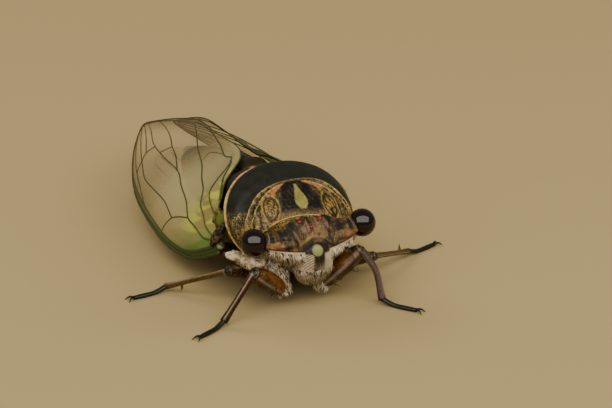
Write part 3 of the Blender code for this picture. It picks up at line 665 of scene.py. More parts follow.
# The head: one broad dark capsule between the eyes with gold-brown down, its brow raised in
# two ledges over the feelers. It nods a little to one side against the body.
HEAD_ROLL = -1.8
HEAD_SHIFT = np.array((0, 0, -0.1))
HEAD_HALF = [
    (0.0, -1.90, 1.75, 8.35, 3.4),
    (1.2, -1.90, 1.75, 8.30, 3.5),
    (2.4, -1.70, 1.70, 8.15, 4.0),
    (3.6, -1.20, 1.65, 7.95, 4.8),
    (4.4, -0.70, 1.70, 7.95, 5.4),
    (4.9, -0.30, 1.70, 7.90, 5.8),
]
HEAD_ROWS = HEAD_HALF[:0:-1] + [(-x, *rest) for x, *rest in HEAD_HALF]
HEAD_SQUARE = 2.4
HEAD_RISE = 0.3
CHEEK_SLANT = 1.9
EYE_PLACE = np.array((5.75, 0.7, 7.2))
LIP_RED = np.array((0.05, 0.010, 0.007))


def nod(spots):
    return roll(spots, HEAD_ROLL, HEAD_SHIFT)


def head_base(turn, share):
    inner, size, bulge = domed(share, 0.04)
    x, front, back, top, bottom = along(HEAD_ROWS, inner).T
    forth, up = rounded(turn, HEAD_SQUARE)
    depth = forth * (back - front) / 2 * size
    height = (top - bottom) / 2 * size + np.where(up > 0, HEAD_RISE * depth, 0)
    slant = CHEEK_SLANT * np.maximum(0, -up) * (1 - forth) / 2
    y = (front + back) / 2 + depth + slant
    return np.stack([x - bulge * 0.15, y, (top + bottom) / 2 + up * height], axis=1)


def patch(spots, middle, radii, soft=0.25):
    """Share of an oval patch, the same on both sides of the body."""
    away = np.c_[np.abs(spots[:, 0]), spots[:, 1:]] - np.array(middle)
    return blend_at(np.linalg.norm(away / np.array(radii), axis=1), 1 + soft, 1 - soft)


def head_marks(spots):
    """Shares of the head's ledges, furrows and patches, the same on both sides."""
    x, y, z = spots.T
    side = np.abs(x)
    ragged = spots + 0.22 * np.stack([wobble(spots, 0.16, seed) for seed in (71, 73, 75)], axis=1)
    marks = {"ledge": patch(spots, (3.1, -1.1, 7.2), (1.1, 0.8, 0.36), 0.4)}
    marks["crown"] = blend_at(y, -1.0, 0.6) * blend_at(side, 3.4, 1.6) * blend_at(z, 7.0, 8.0)
    edge = z - 6.2 - 0.11 * side
    marks["lower"] = blend_at(edge, 0.08, -0.08)
    marks["line"] = bump_at(edge, 0.12, 0.07)
    marks["amber"] = patch(ragged, (3.9, -0.8, 7.0), (0.8, 1.2, 0.27), 0.45)
    marks["ink"] = np.maximum.reduce([
        patch(ragged, (4.2, -0.3, 7.6), (0.3, 1.3, 0.5), 0.4),
        patch(ragged, (2.85, -0.6, 8.0), (0.55, 1.1, 0.42), 0.4),
        patch(ragged, (2.0, 0.0, 8.45), (0.35, 0.9, 0.4), 0.5),
        patch(ragged, (1.0, -1.5, 6.75), (0.7, 0.9, 0.4), 0.4),
    ])
    brow = bump_at(z - 7.62 + 0.28 * (x + 0.2) ** 2, 0, 0.14)
    marks["brow"] = brow * blend_at(side, 1.9, 1.2) * (y < 0)
    marks["suture"] = bump_at(side - 1.75 - 0.3 * (y + 0.5), 0, 0.08) * (z > 7.4)
    to_eye = np.linalg.norm(np.c_[side, y, z] - EYE_PLACE, axis=1)
    marks["orbit"] = bump_at(to_eye, 1.62, 0.045)
    marks["middle"] = patch(ragged, (0.0, -0.9, 8.0), (1.7, 1.3, 0.55), 0.5)
    return marks


def head_relief(spots, share, turn):
    marks = head_marks(spots)
    rise = 0.34 * marks["ledge"] + 0.42 * marks["crown"] + 0.08 * marks["brow"] - 0.08 * marks["suture"]
    rise += 0.03 * marks["line"]
    return rise + 0.03 * wobble(spots, 0.3, 41) + 0.02 * wobble(spots, 0.1, 42, (1, 4, 4))


def head_dye(spots, share, turn):
    marks = head_marks(spots)
    streak = wobble(spots, 0.1, 43, (1, 5, 5))
    cloud = wobble(spots, 0.4, 45)
    blotch = wobble(spots, 0.2, 46, (1, 1.6, 1.6))
    colours = layered(
        UMBER * 2.4, spots,
        (marks["middle"] * (0.4 + 0.5 * streak), GOLD * (1.0, 0.95, 2.2)),
        (blend_at(blotch, 0.1, 0.5) * 0.75, BLACK * 1.5),
        (0.4 + 0.6 * streak + 0.3 * cloud, BLACK * 1.8),
        (marks["amber"] * (0.8 + 0.2 * streak), RUST * (0.72, 0.82, 0.95)),
        (marks["ink"] * 0.9, BLACK * (1.2, 1.4, 1.9)),
        (marks["brow"] * (0.35 + 0.35 * streak), GOLD * 0.7),
        (marks["suture"] * 0.7, BLACK),
        (marks["orbit"] * (0.35 + 0.3 * streak), CREAM * 0.6),
        (marks["lower"] * (0.8 + 0.2 * streak), CREAM),
        (marks["line"] * 0.85, LIP_RED),
    )
    gilt = (0.34 + 0.2 * cloud) * (1 - marks["ink"]) * (1 - marks["amber"] * 0.6) * (1 - marks["lower"])
    return np.c_[colours, gilt]


head = shell("head_capsule", 260, 240, head_base, head_relief, head_dye, nod)
dress(head, finish("head shell", 0.5, grain=0.4, grit=7500, specular=0.3), "head_shell", "head")


# The eyes: two glossy beads of very fine facets, near black with a red-brown lower rim, and
# between them on the crown three small red ocelli, clear and wet as drops.
EYE_RADII = np.array((1.35, 1.4, 1.4))
OCELLI = [(-0.1, -0.5, 8.28), (1.08, 0.2, 8.72), (-1.08, 0.2, 8.72)]
OCELLUS_RADII = np.full(3, 0.2)
EYE_BROWN = np.array((0.006, 0.0025, 0.002))
EYE_RED = np.array((0.05, 0.006, 0.005))
OCELLUS_RED = np.array((0.30, 0.006, 0.008))


def eye_dye(spots, share, turn):
    return layered(EYE_BROWN, spots, (blend_at(spots[:, 2], 7.1, 6.1), EYE_RED))


eye_finish = finish("eye", 0.1, coat=0.7, grain=0.1, bump=0.01, specular=0.3)
feed(eye_finish.node_tree.nodes["Principled BSDF"], {"Coat Roughness": 0.03, "Coat IOR": 1.58})
for label, side in SIDES.items():
    eye = shell(f"eyeball_{label}", 96, 64, egg(EYE_PLACE * side, EYE_RADII), None, eye_dye, nod)
    dress(eye, eye_finish, "eye", f"eye_{label}")
ocellus_finish = finish("ocellus", 0.06, coat=1.0, grain=0.05, bump=0.0)
for index, place in enumerate(OCELLI):
    bead_base = egg(np.array(place), OCELLUS_RADII)
    bead = shell(f"ocellus_{index + 1}", 32, 24, bead_base, None, plain_dye(OCELLUS_RED), nod)
    dress(bead, ocellus_finish, "ocellus")


# The face: the swollen pump of the sucking beak, black at the top with one pale green spot,
# and a pile of fine cream ribs across each side.
FACE_PLACE = np.array((-0.1, -0.85, 4.7))
FACE_RADII = np.array((1.9, 1.35, 2.6))
FACE_TILT = math.radians(26)
RIB_PITCH = 0.18
RIB_SLOPE = 0.45
SPOT_GREEN = np.array((0.24, 0.25, 0.115))


def face_base(turn, share):
    x, y, z = oval(turn, share, 0, FACE_RADII).T
    forward_y = y * math.cos(FACE_TILT) - z * math.sin(FACE_TILT)
    upward_z = y * math.sin(FACE_TILT) + z * math.cos(FACE_TILT)
    return np.stack([x, forward_y, upward_z], axis=1) + FACE_PLACE


def face_marks(spots):
    """Shares of the face's rib field, its pale spot and its waxy lower part."""
    x, y, z = spots.T
    side = np.abs(x - FACE_PLACE[0])
    wave = np.cos((z - RIB_SLOPE * side) / RIB_PITCH * math.tau)
    field = blend_at(side, 0.4, 0.7) * blend_at(z, 6.3, 6.05) * blend_at(z, 3.9, 4.4)
    spot_share = blend_at(np.hypot((x + 0.24) / 0.56, (z - 6.5) / 0.55), 1.15, 0.75) * (y < -0.5)
    return wave, field, spot_share, blend_at(z, 5.6, 4.6) * blend_at(side, 1.1, 0.7)


def face_relief(spots, share, turn):
    wave, field, spot_share, waxy = face_marks(spots)
    return 0.045 * field * wave + 0.05 * spot_share + 0.015 * wobble(spots, 0.15, 47)


def face_dye(spots, share, turn):
    wave, field, spot_share, waxy = face_marks(spots)
    streak = wobble(spots, 0.1, 49, (1, 3, 3))
    colours = layered(
        UMBER * 0.7, spots,
        (0.6 + 0.4 * streak, BLACK),
        (waxy * (0.5 + 0.4 * streak), CREAM * 0.5),
        (blend_at(spots[:, 2], 4.2, 3.4) * 0.8, CREAM * 0.5),
        (field * blend_at(wave, 0.0, 0.5) * 0.95, CREAM * 1.35),
        (field * blend_at(wave, 0.25, -0.3) * 0.95, BLACK),
        (spot_share, SPOT_GREEN),
    )
    return np.c_[colours, 0.25 * (1 - field) * (1 - spot_share)]


face = shell("face_pump", 160, 250, face_base, face_relief, face_dye, nod)
dress(face, finish("face shell", 0.42, coat=0.05, grain=0.25), "face_shell", "face")


# The beak, a brown tube folded back between the legs, and the two feelers, short roots that
# run out to a fine bristle. Each is swept along its own line.
BEAK_PATH = [(0, -0.2, 3.0), (0, 0.4, 2.3), (0, 1.5, 1.8), (0, 4.8, 1.4), (0, 8.0, 1.2)]
BEAK_RADII = [0.75, 0.6, 0.42, 0.36, 0.26]
ANTENNA_PATH = [(3.0, -1.1, 6.0), (3.3, -2.1, 5.6), (3.5, -2.8, 4.8), (3.6, -3.3, 4.0)]
ANTENNA_RADII = [0.2, 0.06, 0.03, 0.02]


def unit(vectors):
    return vectors / np.maximum(np.linalg.norm(vectors, axis=-1, keepdims=True), 1e-9)


def swept(path, radii, flat=1.0, keel=(0, 0, 1)):
    """Tube along a smooth path: its radii at even steps, made flat by a share."""
    def base(turn, share):
        inner, size, bulge = domed(share, 0.05)
        step = 0.01
        middle = along(path, inner)
        ahead = unit(along(path, np.minimum(inner + step, 1)) - along(path, np.maximum(inner - step, 0)))
        sidewise = unit(np.cross(ahead, np.array(keel, float)))
        upwards = np.cross(sidewise, ahead)
        radius = along(radii, inner)[:, 0] * size
        around = sidewise * (np.cos(turn) * radius)[:, None]
        around = around + upwards * (np.sin(turn) * radius * flat)[:, None]
        return middle + around + ahead * (bulge * along(radii, inner)[:, 0] * 0.5)[:, None]
    return base


def stay(spots):
    """Points that neither lean with the body nor nod with the head."""
    return spots


beak_finish = finish("beak", 0.35, coat=0.2)
beak_base = swept(BEAK_PATH, BEAK_RADII)
beak = shell("beak_sheath", 32, 90, beak_base, None, plain_dye(UMBER * 1.5), stay)
dress(beak, beak_finish, "beak", "beak")
for label, side in SIDES.items():
    feeler_base = swept(np.array(ANTENNA_PATH) * side, ANTENNA_RADII)
    feeler = shell(f"feeler_{label}", 24, 70, feeler_base, None, plain_dye(BLACK), nod)
    dress(feeler, beak_finish, "antenna", f"antenna_{label}")


# The wings: clear, faintly smoky film held stiff by green and brown veins, folded like a roof
# over the body. Each film is a thin closed sheet over the arch, and its veins are tubes that
# follow the same arch.
COSTAL_EDGE = [
    (7.0, 4.9, 3.9),
    (8.0, 9.5, 1.6),
    (8.8, 14.4, 1.1),
    (8.7, 19.4, 1.2),
    (8.3, 24.3, 1.5),
    (7.35, 29.0, 1.6),
    (5.9, 33.6, 1.65),
    (4.2, 38.0, 1.9),
    (2.5, 41.3, 2.4),
]
INNER_EDGE = [
    (6.5, 7.0, 7.3),
    (6.2, 10.6, 8.1),
    (2.6, 14.6, 9.5),
    (0.7, 18.6, 9.6),
    (0.5, 24.0, 9.3),
    (0.5, 29.5, 8.7),
    (0.5, 34.5, 7.5),
    (0.5, 39.0, 6.0),
    (0.5, 43.0, 4.4),
]
WING_ARCH = [0.5, 1.4, 1.9, 1.7, 1.4, 0.9, 0.4]
ARCH_PEAK = 6.75
FOREWING_LOWER = [
    (0.0, 0.0), (0.15, 0.0), (0.3, 0.0), (0.45, 0.0), (0.6, 0.0), (0.72, 0.015), (0.82, 0.05),
    (0.9, 0.11), (0.96, 0.2), (0.995, 0.33), (1.0, 0.47),
]
FOREWING_UPPER = [
    (0.0, 1.0), (0.15, 1.3), (0.3, 1.12), (0.45, 1.0), (0.62, 1.0), (0.74, 0.93), (0.85, 0.83),
    (0.93, 0.72), (0.98, 0.6), (0.998, 0.53), (1.0, 0.47),
]
HINDWING_LOWER = [
    (0.14, 0.52), (0.2, 0.51), (0.27, 0.5), (0.36, 0.44), (0.48, 0.33), (0.58, 0.29), (0.64, 0.35),
    (0.67, 0.5),
]
HINDWING_UPPER = [
    (0.14, 0.56), (0.18, 0.67), (0.26, 0.76), (0.38, 0.82), (0.48, 0.8), (0.57, 0.74), (0.63, 0.65),
    (0.67, 0.5),
]
FOREWING_VEINS = [
    [(0.02, 0.14), (0.15, 0.06), (0.3, 0.05), (0.45, 0.045), (0.58, 0.05)],
    [(0.02, 0.3), (0.055, 0.33), (0.09, 0.45), (0.12, 0.49), (0.164, 0.463)],
    [(0.164, 0.463), (0.208, 0.34), (0.246, 0.237), (0.27, 0.15), (0.294, 0.05)],
    [(0.246, 0.237), (0.33, 0.25), (0.43, 0.22), (0.53, 0.2), (0.63, 0.26), (0.78, 0.33), (0.965, 0.41)],
    [(0.164, 0.463), (0.25, 0.46), (0.34, 0.455), (0.43, 0.49), (0.55, 0.47), (0.68, 0.48), (0.8, 0.55),
     (0.94, 0.63)],
    [(0.43, 0.49), (0.5, 0.56), (0.57, 0.6), (0.64, 0.66), (0.75, 0.73), (0.86, 0.78)],
    [(0.02, 0.4), (0.06, 0.55), (0.106, 0.72), (0.2, 0.68), (0.306, 0.65), (0.41, 0.7), (0.51, 0.79),
     (0.62, 0.94)],
    [(0.02, 0.8), (0.1, 0.97), (0.2, 1.0), (0.3, 0.97), (0.37, 0.89), (0.45, 0.93), (0.53, 0.97),
     (0.62, 0.96)],
    [(0.06, 1.12), (0.12, 1.22), (0.17, 1.15), (0.23, 1.04), (0.28, 0.97)],
    [(0.38, 0.89), (0.43, 0.81), (0.41, 0.71)],
    [(0.45, 0.045), (0.55, 0.11), (0.7, 0.17), (0.83, 0.22), (0.945, 0.28)],
    [(0.62, 0.14), (0.63, 0.26)],
    [(0.63, 0.26), (0.65, 0.35), (0.64, 0.475)],
    [(0.58, 0.475), (0.57, 0.6)],
    [(0.65, 0.35), (0.78, 0.44), (0.965, 0.52)],
    [(0.58, 0.05), (0.7, 0.06), (0.8, 0.1), (0.88, 0.16), (0.935, 0.25), (0.965, 0.38), (0.965, 0.52),
     (0.93, 0.65), (0.86, 0.78), (0.74, 0.88), (0.62, 0.94)],
]
HINDWING_VEINS = [
    [(0.17, 0.56), (0.3, 0.53), (0.45, 0.41), (0.6, 0.35)],
    [(0.18, 0.58), (0.33, 0.57), (0.48, 0.5), (0.63, 0.46)],
    [(0.33, 0.57), (0.47, 0.6), (0.61, 0.58)],
    [(0.18, 0.61), (0.32, 0.65), (0.46, 0.69), (0.57, 0.69)],
    [(0.19, 0.64), (0.3, 0.73), (0.42, 0.77)],
]
FILM = 0.06
FILM_MERGE = 0.000004
VEIN_MERGE = 0.000002
VEIN_STEPS = 12
SMOKE_SCALE = 170
CRINKLE_SCALE = 2500
STREAK_SCALE = (9, 0.85, 0)
HINDWING_DEPTH = 1.1
ROOT_FOLD = np.array((-6.0, 1.0, 3.0))
FILM_DYE = np.array((0.28, 0.21, 0.11))
FILM_SMOKE = np.array((0.13, 0.10, 0.045))
FILM_VEIL = np.array((0.46, 0.385, 0.20))
ROOT_YELLOW = np.array((0.38, 0.38, 0.085))
ROOT_GREEN = np.array((0.14, 0.22, 0.065))
ROOT_BROWN = np.array((0.21, 0.175, 0.06))
COSTAL_GREEN = np.array((0.055, 0.10, 0.026))
VEIN_GREEN = np.array((0.055, 0.072, 0.026))
VEIN_ROOT = np.array((0.10, 0.105, 0.025))
VEIN_BROWN = np.array((0.065, 0.056, 0.026))


def wing_spot(a, b):
    """Point on the roof-like arch of the left forewing: a runs along it, b across, and past
    1 it folds inwards over the thorax."""
    costal = along(COSTAL_EDGE, a)
    inner = along(INNER_EDGE, a)
    chord = inner - costal
    fold = np.maximum(b - 1, 0) * blend_at(a, 0.0, 0.08)
    b = np.minimum(b, 1)
    outward = unit(np.stack([chord[:, 2], np.zeros(len(a)), -chord[:, 0]], axis=1))
    arch = along(WING_ARCH, a)[:, 0] * ARCH_PEAK * b * (1 - b) ** 2
    return costal + chord * b[:, None] + outward * arch[:, None] + ROOT_FOLD * fold[:, None]


def wing_out(a, b):
    step = 0.004
    lengthwise = wing_spot(a + step, b) - wing_spot(a - step, b)
    crosswise = wing_spot(a, b + step) - wing_spot(a, b - step)
    return unit(np.cross(lengthwise, crosswise))


def film(name, lower, upper, depth, side, columns, rows):
    """Thin closed sheet over the arch between a lower and an upper edge."""
    bpy.ops.object.select_all(action="DESELECT")
    bpy.ops.mesh.primitive_grid_add(x_subdivisions=columns, y_subdivisions=rows, size=2)
    piece = bpy.context.object
    piece.name = name
    piece.data.name = name
    flat = points_of(piece)
    lengthwise = np.sin((flat[:, 0] + 1) / 2 * math.pi / 2)
    crosswise = (flat[:, 1] + 1) / 2
    low = along(lower, lengthwise)
    wide = along(upper, lengthwise) - low
    a, b = (low + wide * crosswise[:, None]).T
    spots = to_frame((wing_spot(a, b) - wing_out(a, b) * depth) * side, lean)
    piece.data.vertices.foreach_set("co", spots.ravel())
    close_up()
    chord = np.linalg.norm(along(INNER_EDGE, a) - along(COSTAL_EDGE, a), axis=1)
    edge = np.minimum(crosswise, 1 - crosswise) * (wide[:, 1] * chord)
    place = piece.data.attributes.new("wing_place", "FLOAT_VECTOR", "POINT")
    place.data.foreach_set("vector", np.stack([a, b * chord, edge], axis=1).ravel())
    bpy.ops.object.mode_set(mode="EDIT")
    bpy.ops.mesh.select_all(action="SELECT")
    bpy.ops.mesh.remove_doubles(threshold=FILM_MERGE)
    bpy.ops.object.mode_set(mode="OBJECT")
    wall = piece.modifiers.new("thickness", "SOLIDIFY")
    wall.thickness = FILM * MM
    wall.offset = 0
    bpy.ops.object.modifier_apply(modifier=wall.name)
    bpy.ops.object.shade_smooth()
    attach(piece, "root")
    return piece


def vein_tubes(name, veins, widths, depth, side):
    """Tapering tubes over the arch, joined to one piece."""
    data = bpy.data.curves.new(name, "CURVE")
    data.dimensions = "3D"
    data.bevel_depth = MM
    data.bevel_resolution = 2
    data.use_fill_caps = True
    for vein, (thick, thin) in zip(veins, widths):
        steps = VEIN_STEPS * (len(vein) - 1)
        share = np.arange(steps + 1) / steps
        a, b = along(vein, share).T
        spots = to_frame((wing_spot(a, b) - wing_out(a, b) * depth) * side, lean)
        spline = data.splines.new("POLY")
        spline.points.add(steps)
        for knot, place, radius in zip(spline.points, spots, thick + (thin - thick) * share):
            knot.co = (*place, 1)
            knot.radius = radius
    piece = bpy.data.objects.new(name, data)
    bpy.context.scene.collection.objects.link(piece)
    bpy.ops.object.select_all(action="DESELECT")
    piece.select_set(True)
    bpy.context.view_layer.objects.active = piece
    bpy.ops.object.convert(target="MESH")
    piece = bpy.context.object
    close_up(VEIN_MERGE)
    bpy.ops.object.shade_smooth()
    spots = points_of(piece) / MM - shift
    y, z = spots.T[1:]
    lay_dye(piece.data, layered(
        VEIN_GREEN, spots,
        (blend_at(y, 12, 8) * blend_at(z, 4.6, 6), VEIN_ROOT),
        (blend_at(y, 16, 30), VEIN_BROWN),
    ))
    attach(piece, "root")
    return piece


def film_finish(name, strength):
    """Clear film: smoky along its border, with yellow, green and brown clouds at its root and
    a dark green front edge. Its strength makes all of it more or less clear."""
    material, shader, wires, place = start_material(name)
    wing = wires.node("Attribute", {"attribute_name": "wing_place"}, {}, "Vector")
    lengthwise, from_front, from_edge = (wires.node("SeparateXYZ", {}, {0: wing}, axis) for axis in "XYZ")
    smoke = wires.node("TexNoise", {}, {"Vector": place, "Scale": SMOKE_SCALE, "Detail": 3})
    fine = wires.node("TexNoise", {}, {"Vector": place, "Scale": CRINKLE_SCALE, "Detail": 2})

    def fade(value, start, end):
        settings = {"interpolation_type": "SMOOTHSTEP"}
        return wires.node("MapRange", settings, {"Value": value, "From Min": start, "From Max": end})

    drawn_out = wires.node("VectorMath", {"operation": "MULTIPLY"}, {0: wing, 1: STREAK_SCALE})
    cloud = fade(wires.node("TexNoise", {}, {"Vector": drawn_out, "Scale": 1.0, "Detail": 2}), 0.44, 0.56)
    root = fade(lengthwise + smoke * 0.08, 0.3, 0.14) * (cloud * 0.3 + 0.7)
    border = fade(from_edge + smoke * 2.4, 4.2, 1.2) * fade(lengthwise, 0.3, 0.6)
    front = fade(from_front + lengthwise * 1.1, 0.95, 0.75)
    veil = fade(lengthwise + smoke * 0.1, 0.62, 0.38)
    colour = mix(wires, veil, (*FILM_DYE, 1), (*FILM_VEIL, 1))
    colour = mix(wires, border, colour, (*FILM_SMOKE, 1))
    clouded = mix(wires, cloud, (*ROOT_BROWN, 1), (*ROOT_YELLOW, 1))
    clouded = mix(wires, fade(from_front, 2.9, 1.6), clouded, (*ROOT_GREEN, 1))
    colour = mix(wires, root, colour, clouded)
    alpha = smoke * 0.12 + 0.06 + veil * 0.4 + border * 0.3 + root * 0.42 + front * 0.7
    feed(shader, {
        "Base Color": mix(wires, front, colour, (*COSTAL_GREEN, 1)),
        "Alpha": wires.node("Clamp", {}, {0: alpha * strength}),
        "Normal": wires.node("Bump", {}, {"Strength": 0.3, "Distance": BUMP_DEPTH, "Height": fine}),
        "Roughness": 0.3,
        "Specular IOR Level": 0.4,
    })
    return material


wing_film = film_finish("forewing film", 1.0)
hindwing_film = film_finish("hindwing film", 0.15)
vein_finish = finish("wing vein", 0.45, grain=0.3, bump=0.05)
FOREWING_RIM = [
    [(0.0, 0.0), (0.15, 0.0), (0.3, 0.0), (0.45, 0.0), (0.6, 0.003)],
    [(0.6, 0.003), (0.72, 0.018), (0.82, 0.053), (0.9, 0.113), (0.957, 0.2), (0.99, 0.33),
     (0.995, 0.47), (0.975, 0.6), (0.925, 0.717), (0.85, 0.825), (0.74, 0.925), (0.62, 0.995)],
    [(0.62, 0.995), (0.45, 0.995), (0.3, 1.115), (0.15, 1.295), (0.0, 1.0)],
]
FOREWING_WIDTHS = [
    (0.13, 0.07), (0.12, 0.09), (0.09, 0.06), (0.08, 0.045), (0.09, 0.045), (0.08, 0.045), (0.11, 0.06),
    (0.12, 0.06), (0.12, 0.1), (0.06, 0.05), (0.06, 0.04), (0.05, 0.05), (0.05, 0.05), (0.05, 0.05),
    (0.06, 0.04), (0.05, 0.05),
]
RIM_WIDTHS = [(0.28, 0.14), (0.1, 0.06), (0.05, 0.09)]
HINDWING_WIDTHS = [(0.05, 0.03)] * len(HINDWING_VEINS)
forewing_lines = (FOREWING_VEINS + FOREWING_RIM, FOREWING_WIDTHS + RIM_WIDTHS)
hindwing_lines = (HINDWING_VEINS, HINDWING_WIDTHS)
for label, side in SIDES.items():
    forewing = film(f"forewing_film_{label}", FOREWING_LOWER, FOREWING_UPPER, 0.0, side, 170, 70)
    dress(forewing, wing_film, "wing_membrane", f"forewing_{label}")
    dress(vein_tubes(f"forewing_veins_{label}", *forewing_lines, 0.0, side), vein_finish, "wing_vein")
    hindwing = film(
        f"hindwing_film_{label}", HINDWING_LOWER, HINDWING_UPPER, HINDWING_DEPTH, side, 100, 50)
    dress(hindwing, hindwing_film, "wing_membrane", f"hindwing_{label}")
    veins = vein_tubes(f"hindwing_veins_{label}", *hindwing_lines, HINDWING_DEPTH, side)
    dress(veins, vein_finish, "wing_vein")


# The wing roots: knots of small hard plates where the wings hinge on the thorax, mottled green
# on the forewing, with a dark brown scale over its front and a pale plate below the scale. A
# waxy cream lobe of the thorax swells out below them and runs forward under the eye.
ROOTS = {
    "forewing_root": ((6.5, 6.6, 6.6), (0.6, 1.2, 1.25), (0.13, 0.14, 0.03)),
    "hindwing_root": ((5.8, 11.0, 6.0), (0.7, 1.1, 1.1), tuple(UMBER * 1.5)),
    "forewing_plate": ((6.9, 5.0, 4.7), (0.45, 0.45, 0.45), (0.24, 0.26, 0.16)),
}
SCALE_PATH = [(6.9, 4.8, 6.8), (7.15, 4.9, 6.2), (7.5, 5.05, 5.4), (7.8, 5.2, 4.7)]
SCALE_RADII = [0.35, 0.62, 0.6, 0.35]
LOBE_PATH = [
    (4.1, 0.9, 4.2), (4.5, 1.5, 3.95), (4.7, 2.4, 3.7), (4.9, 3.2, 3.6), (5.4, 3.6, 3.75),
    (6.1, 3.6, 4.05), (6.8, 3.7, 4.2),
]
LOBE_RADII = [0.5, 0.8, 0.85, 0.8, 0.7, 0.6, 0.25]


def clouded_dye(colour, cloud):
    """Colour of a root plate, clouded with another."""
    return lambda spots, share, turn: layered(
        colour, spots, (blend_at(wobble(spots, 0.16, 53), 0.0, 0.5) * 0.85, cloud))


def uneven(height, scale, seed):
    """Soft waves over a plate."""
    return lambda spots, share, turn: height * wobble(spots, scale, seed)


lobe_bases = {}
for label, side in SIDES.items():
    for name, (place, radii, colour) in ROOTS.items():
        knot = shell(
            f"{name}_{label}", 48, 32, egg(np.array(place) * side, np.array(radii)),
            uneven(0.12, 0.3, 51), clouded_dye(colour, UMBER * 0.4))
        dress(knot, vein_finish, "wing_vein")
    scale = shell(
        f"forewing_scale_{label}", 40, 60, swept(np.array(SCALE_PATH) * side, SCALE_RADII, flat=0.7),
        uneven(0.06, 0.25, 55), clouded_dye(BLACK * 1.5, UMBER * 1.6))
    dress(scale, vein_finish, "notum")
    lobe_bases[label] = swept(np.array(LOBE_PATH) * side, LOBE_RADII, flat=0.85)
    lobe = shell(
        f"pleural_lobe_{label}", 60, 70, lobe_bases[label],
        uneven(0.09, 0.3, 57), clouded_dye(WAX, WAX * (0.55, 0.5, 0.4)))
    dress(lobe, operculum_finish, "underside")


# The six legs, each of four pieces: a pale, hairy coxa, a rust-brown femur with spines below,
# a thin dark tibia with spines behind and a foot that ends in two claws.
LEG_JOINTS = {
    ("fore", "left"): [
        (3.5, 1.7, 4.4), (1.2, 0.4, 1.35), (5.0, -0.6, 5.0),
        (6.2, -3.4, 0.6), (8.6, -6.3, 0.2),
    ],
    ("fore", "right"): [
        (-3.6, 1.6, 4.3), (-2.7, 0.6, 1.4), (-6.4, -1.0, 4.5),
        (-10.1, -2.4, 0.6), (-13.2, -4.2, 0.2),
    ],
    ("mid", "left"): [
        (3.3, 6.2, 2.6), (2.6, 5.0, 1.4), (8.4, 3.9, 1.9),
        (13.3, 6.5, 0.6), (16.8, 8.0, 0.2),
    ],
    ("mid", "right"): [
        (-3.3, 6.2, 2.6), (-2.6, 5.2, 1.5), (-7.6, 2.9, 3.3),
        (-12.5, 7.5, 0.6), (-16.1, 6.9, 0.2),
    ],
    ("hind", "left"): [
        (3.1, 10.8, 2.4), (2.4, 10.2, 1.5), (5.4, 9.4, 3.0),
        (5.2, 17.6, 0.6), (5.4, 20.9, 0.2),
    ],
    ("hind", "right"): [
        (-3.1, 10.8, 2.4), (-2.4, 10.2, 1.5), (-6.0, 9.4, 3.0),
        (-6.4, 17.6, 0.6), (-6.7, 20.9, 0.2),
    ],
}
COXA_RADII = {"fore": [0.9, 1.0, 0.7], "mid": [0.9, 0.95, 0.7], "hind": [0.95, 1.0, 0.7]}
FEMUR_RADII = {
    "fore": [0.5, 0.9, 0.95, 0.6],
    "mid": [0.45, 0.68, 0.62, 0.48],
    "hind": [0.45, 0.68, 0.6, 0.45],
}
TIBIA_RADII = {
    "fore": [0.44, 0.34, 0.32, 0.40],
    "mid": [0.36, 0.27, 0.25, 0.32],
    "hind": [0.36, 0.27, 0.25, 0.32],
}
TARSUS_RADII = [0.3, 0.27, 0.25, 0.27, 0.22]
FEMUR_SPINES = {"fore": [0.18, 0.36, 0.54], "mid": [0.6], "hind": [0.5]}
TIBIA_SPINES = {"fore": [0.75], "mid": [0.6, 0.72, 0.84], "hind": [0.3, 0.42, 0.54, 0.66, 0.78, 0.88]}
SPINE_LENGTH = 0.75
SPINE_LEAN = 0.5
SPINE_RADII = [0.2, 0.12, 0.02]
SPINE_TURN = math.radians(70)
CLAW_LENGTH = 0.9
CLAW_SPREAD = math.radians(28)
CLAW_RADII = [0.15, 0.1, 0.03]
CLAW_BEND_HEIGHT = 0.32
CLAW_TIP_HEIGHT = 0.05
LOWEST = 0.01
INSTEP = 0.4
TIBIA_BROWN = np.array((0.055, 0.018, 0.010))
TIBIA_OLIVE = np.array((0.11, 0.07, 0.024))
TIBIA_BOW = {("fore", "left"): (0.45, 0.0, 0.35)}
FEMUR_RUST = np.array((0.18, 0.068, 0.019))
# Turns of the rust and of the painted highlight streak on each fore femur.
FEMUR_TURNS = {("fore", "left"): (1.0, 0.15), ("fore", "right"): (2.75, 3.6)}


def grounded(spots):
    """Points kept above the floor."""
    return np.c_[spots[:, :2], np.maximum(spots[:, 2], LOWEST)]


def femur_colour_and_highlight(rusty, highlight_turn):
    """Rust colour round one turn of the femur, a greyish painted highlight streak at another, and dark
    between.
    """
    def dye(spots, share, turn):
        grain = wobble(spots, 0.3, 61)
        middle = blend_at(np.abs(share - 0.45), 0.42, 0.15)
        dark = blend_at(0.5 * grain - np.cos(2 * (turn - rusty)) * middle, -0.8, 0.25)
        ends = np.maximum(blend_at(share, 0.16, 0.05), blend_at(share, 0.86, 0.9))
        colours = layered(
            FEMUR_RUST, spots,
            (dark * 0.95 + 0.15 * grain, UMBER * 0.35),
            # Painted highlight: a narrow greyish streak along the femur at one turn.
            (bump_at(np.cos(turn - highlight_turn), 1.0, 0.015) * 0.6, CREAM * (0.42, 0.4, 0.5)),
            (ends * 0.9, BLACK),
            (bump_at(share, 0.95, 0.01) * 0.45, CREAM * 0.6),
        )
        return np.c_[colours, 0.42 * (1 - ends) * dark]
    return dye


def tibia_dye(colour):
    """Dark leg colour with pale streaks along it and a black knee."""
    return lambda spots, share, turn: layered(
        colour, spots,
        (blend_at(np.cos(3 * turn), 0.85, 0.98) * 0.6, CREAM * 0.5),
        (blend_at(np.cos(3 * turn), -0.4, -0.9) * 0.6, colour * 0.3),
        (blend_at(share, 0.12, 0.08), BLACK),
        (bump_at(share, 0.125, 0.01) * 0.4, CREAM * 0.5),
        (blend_at(share, 0.85, 0.97) * 0.8, BLACK),
    )


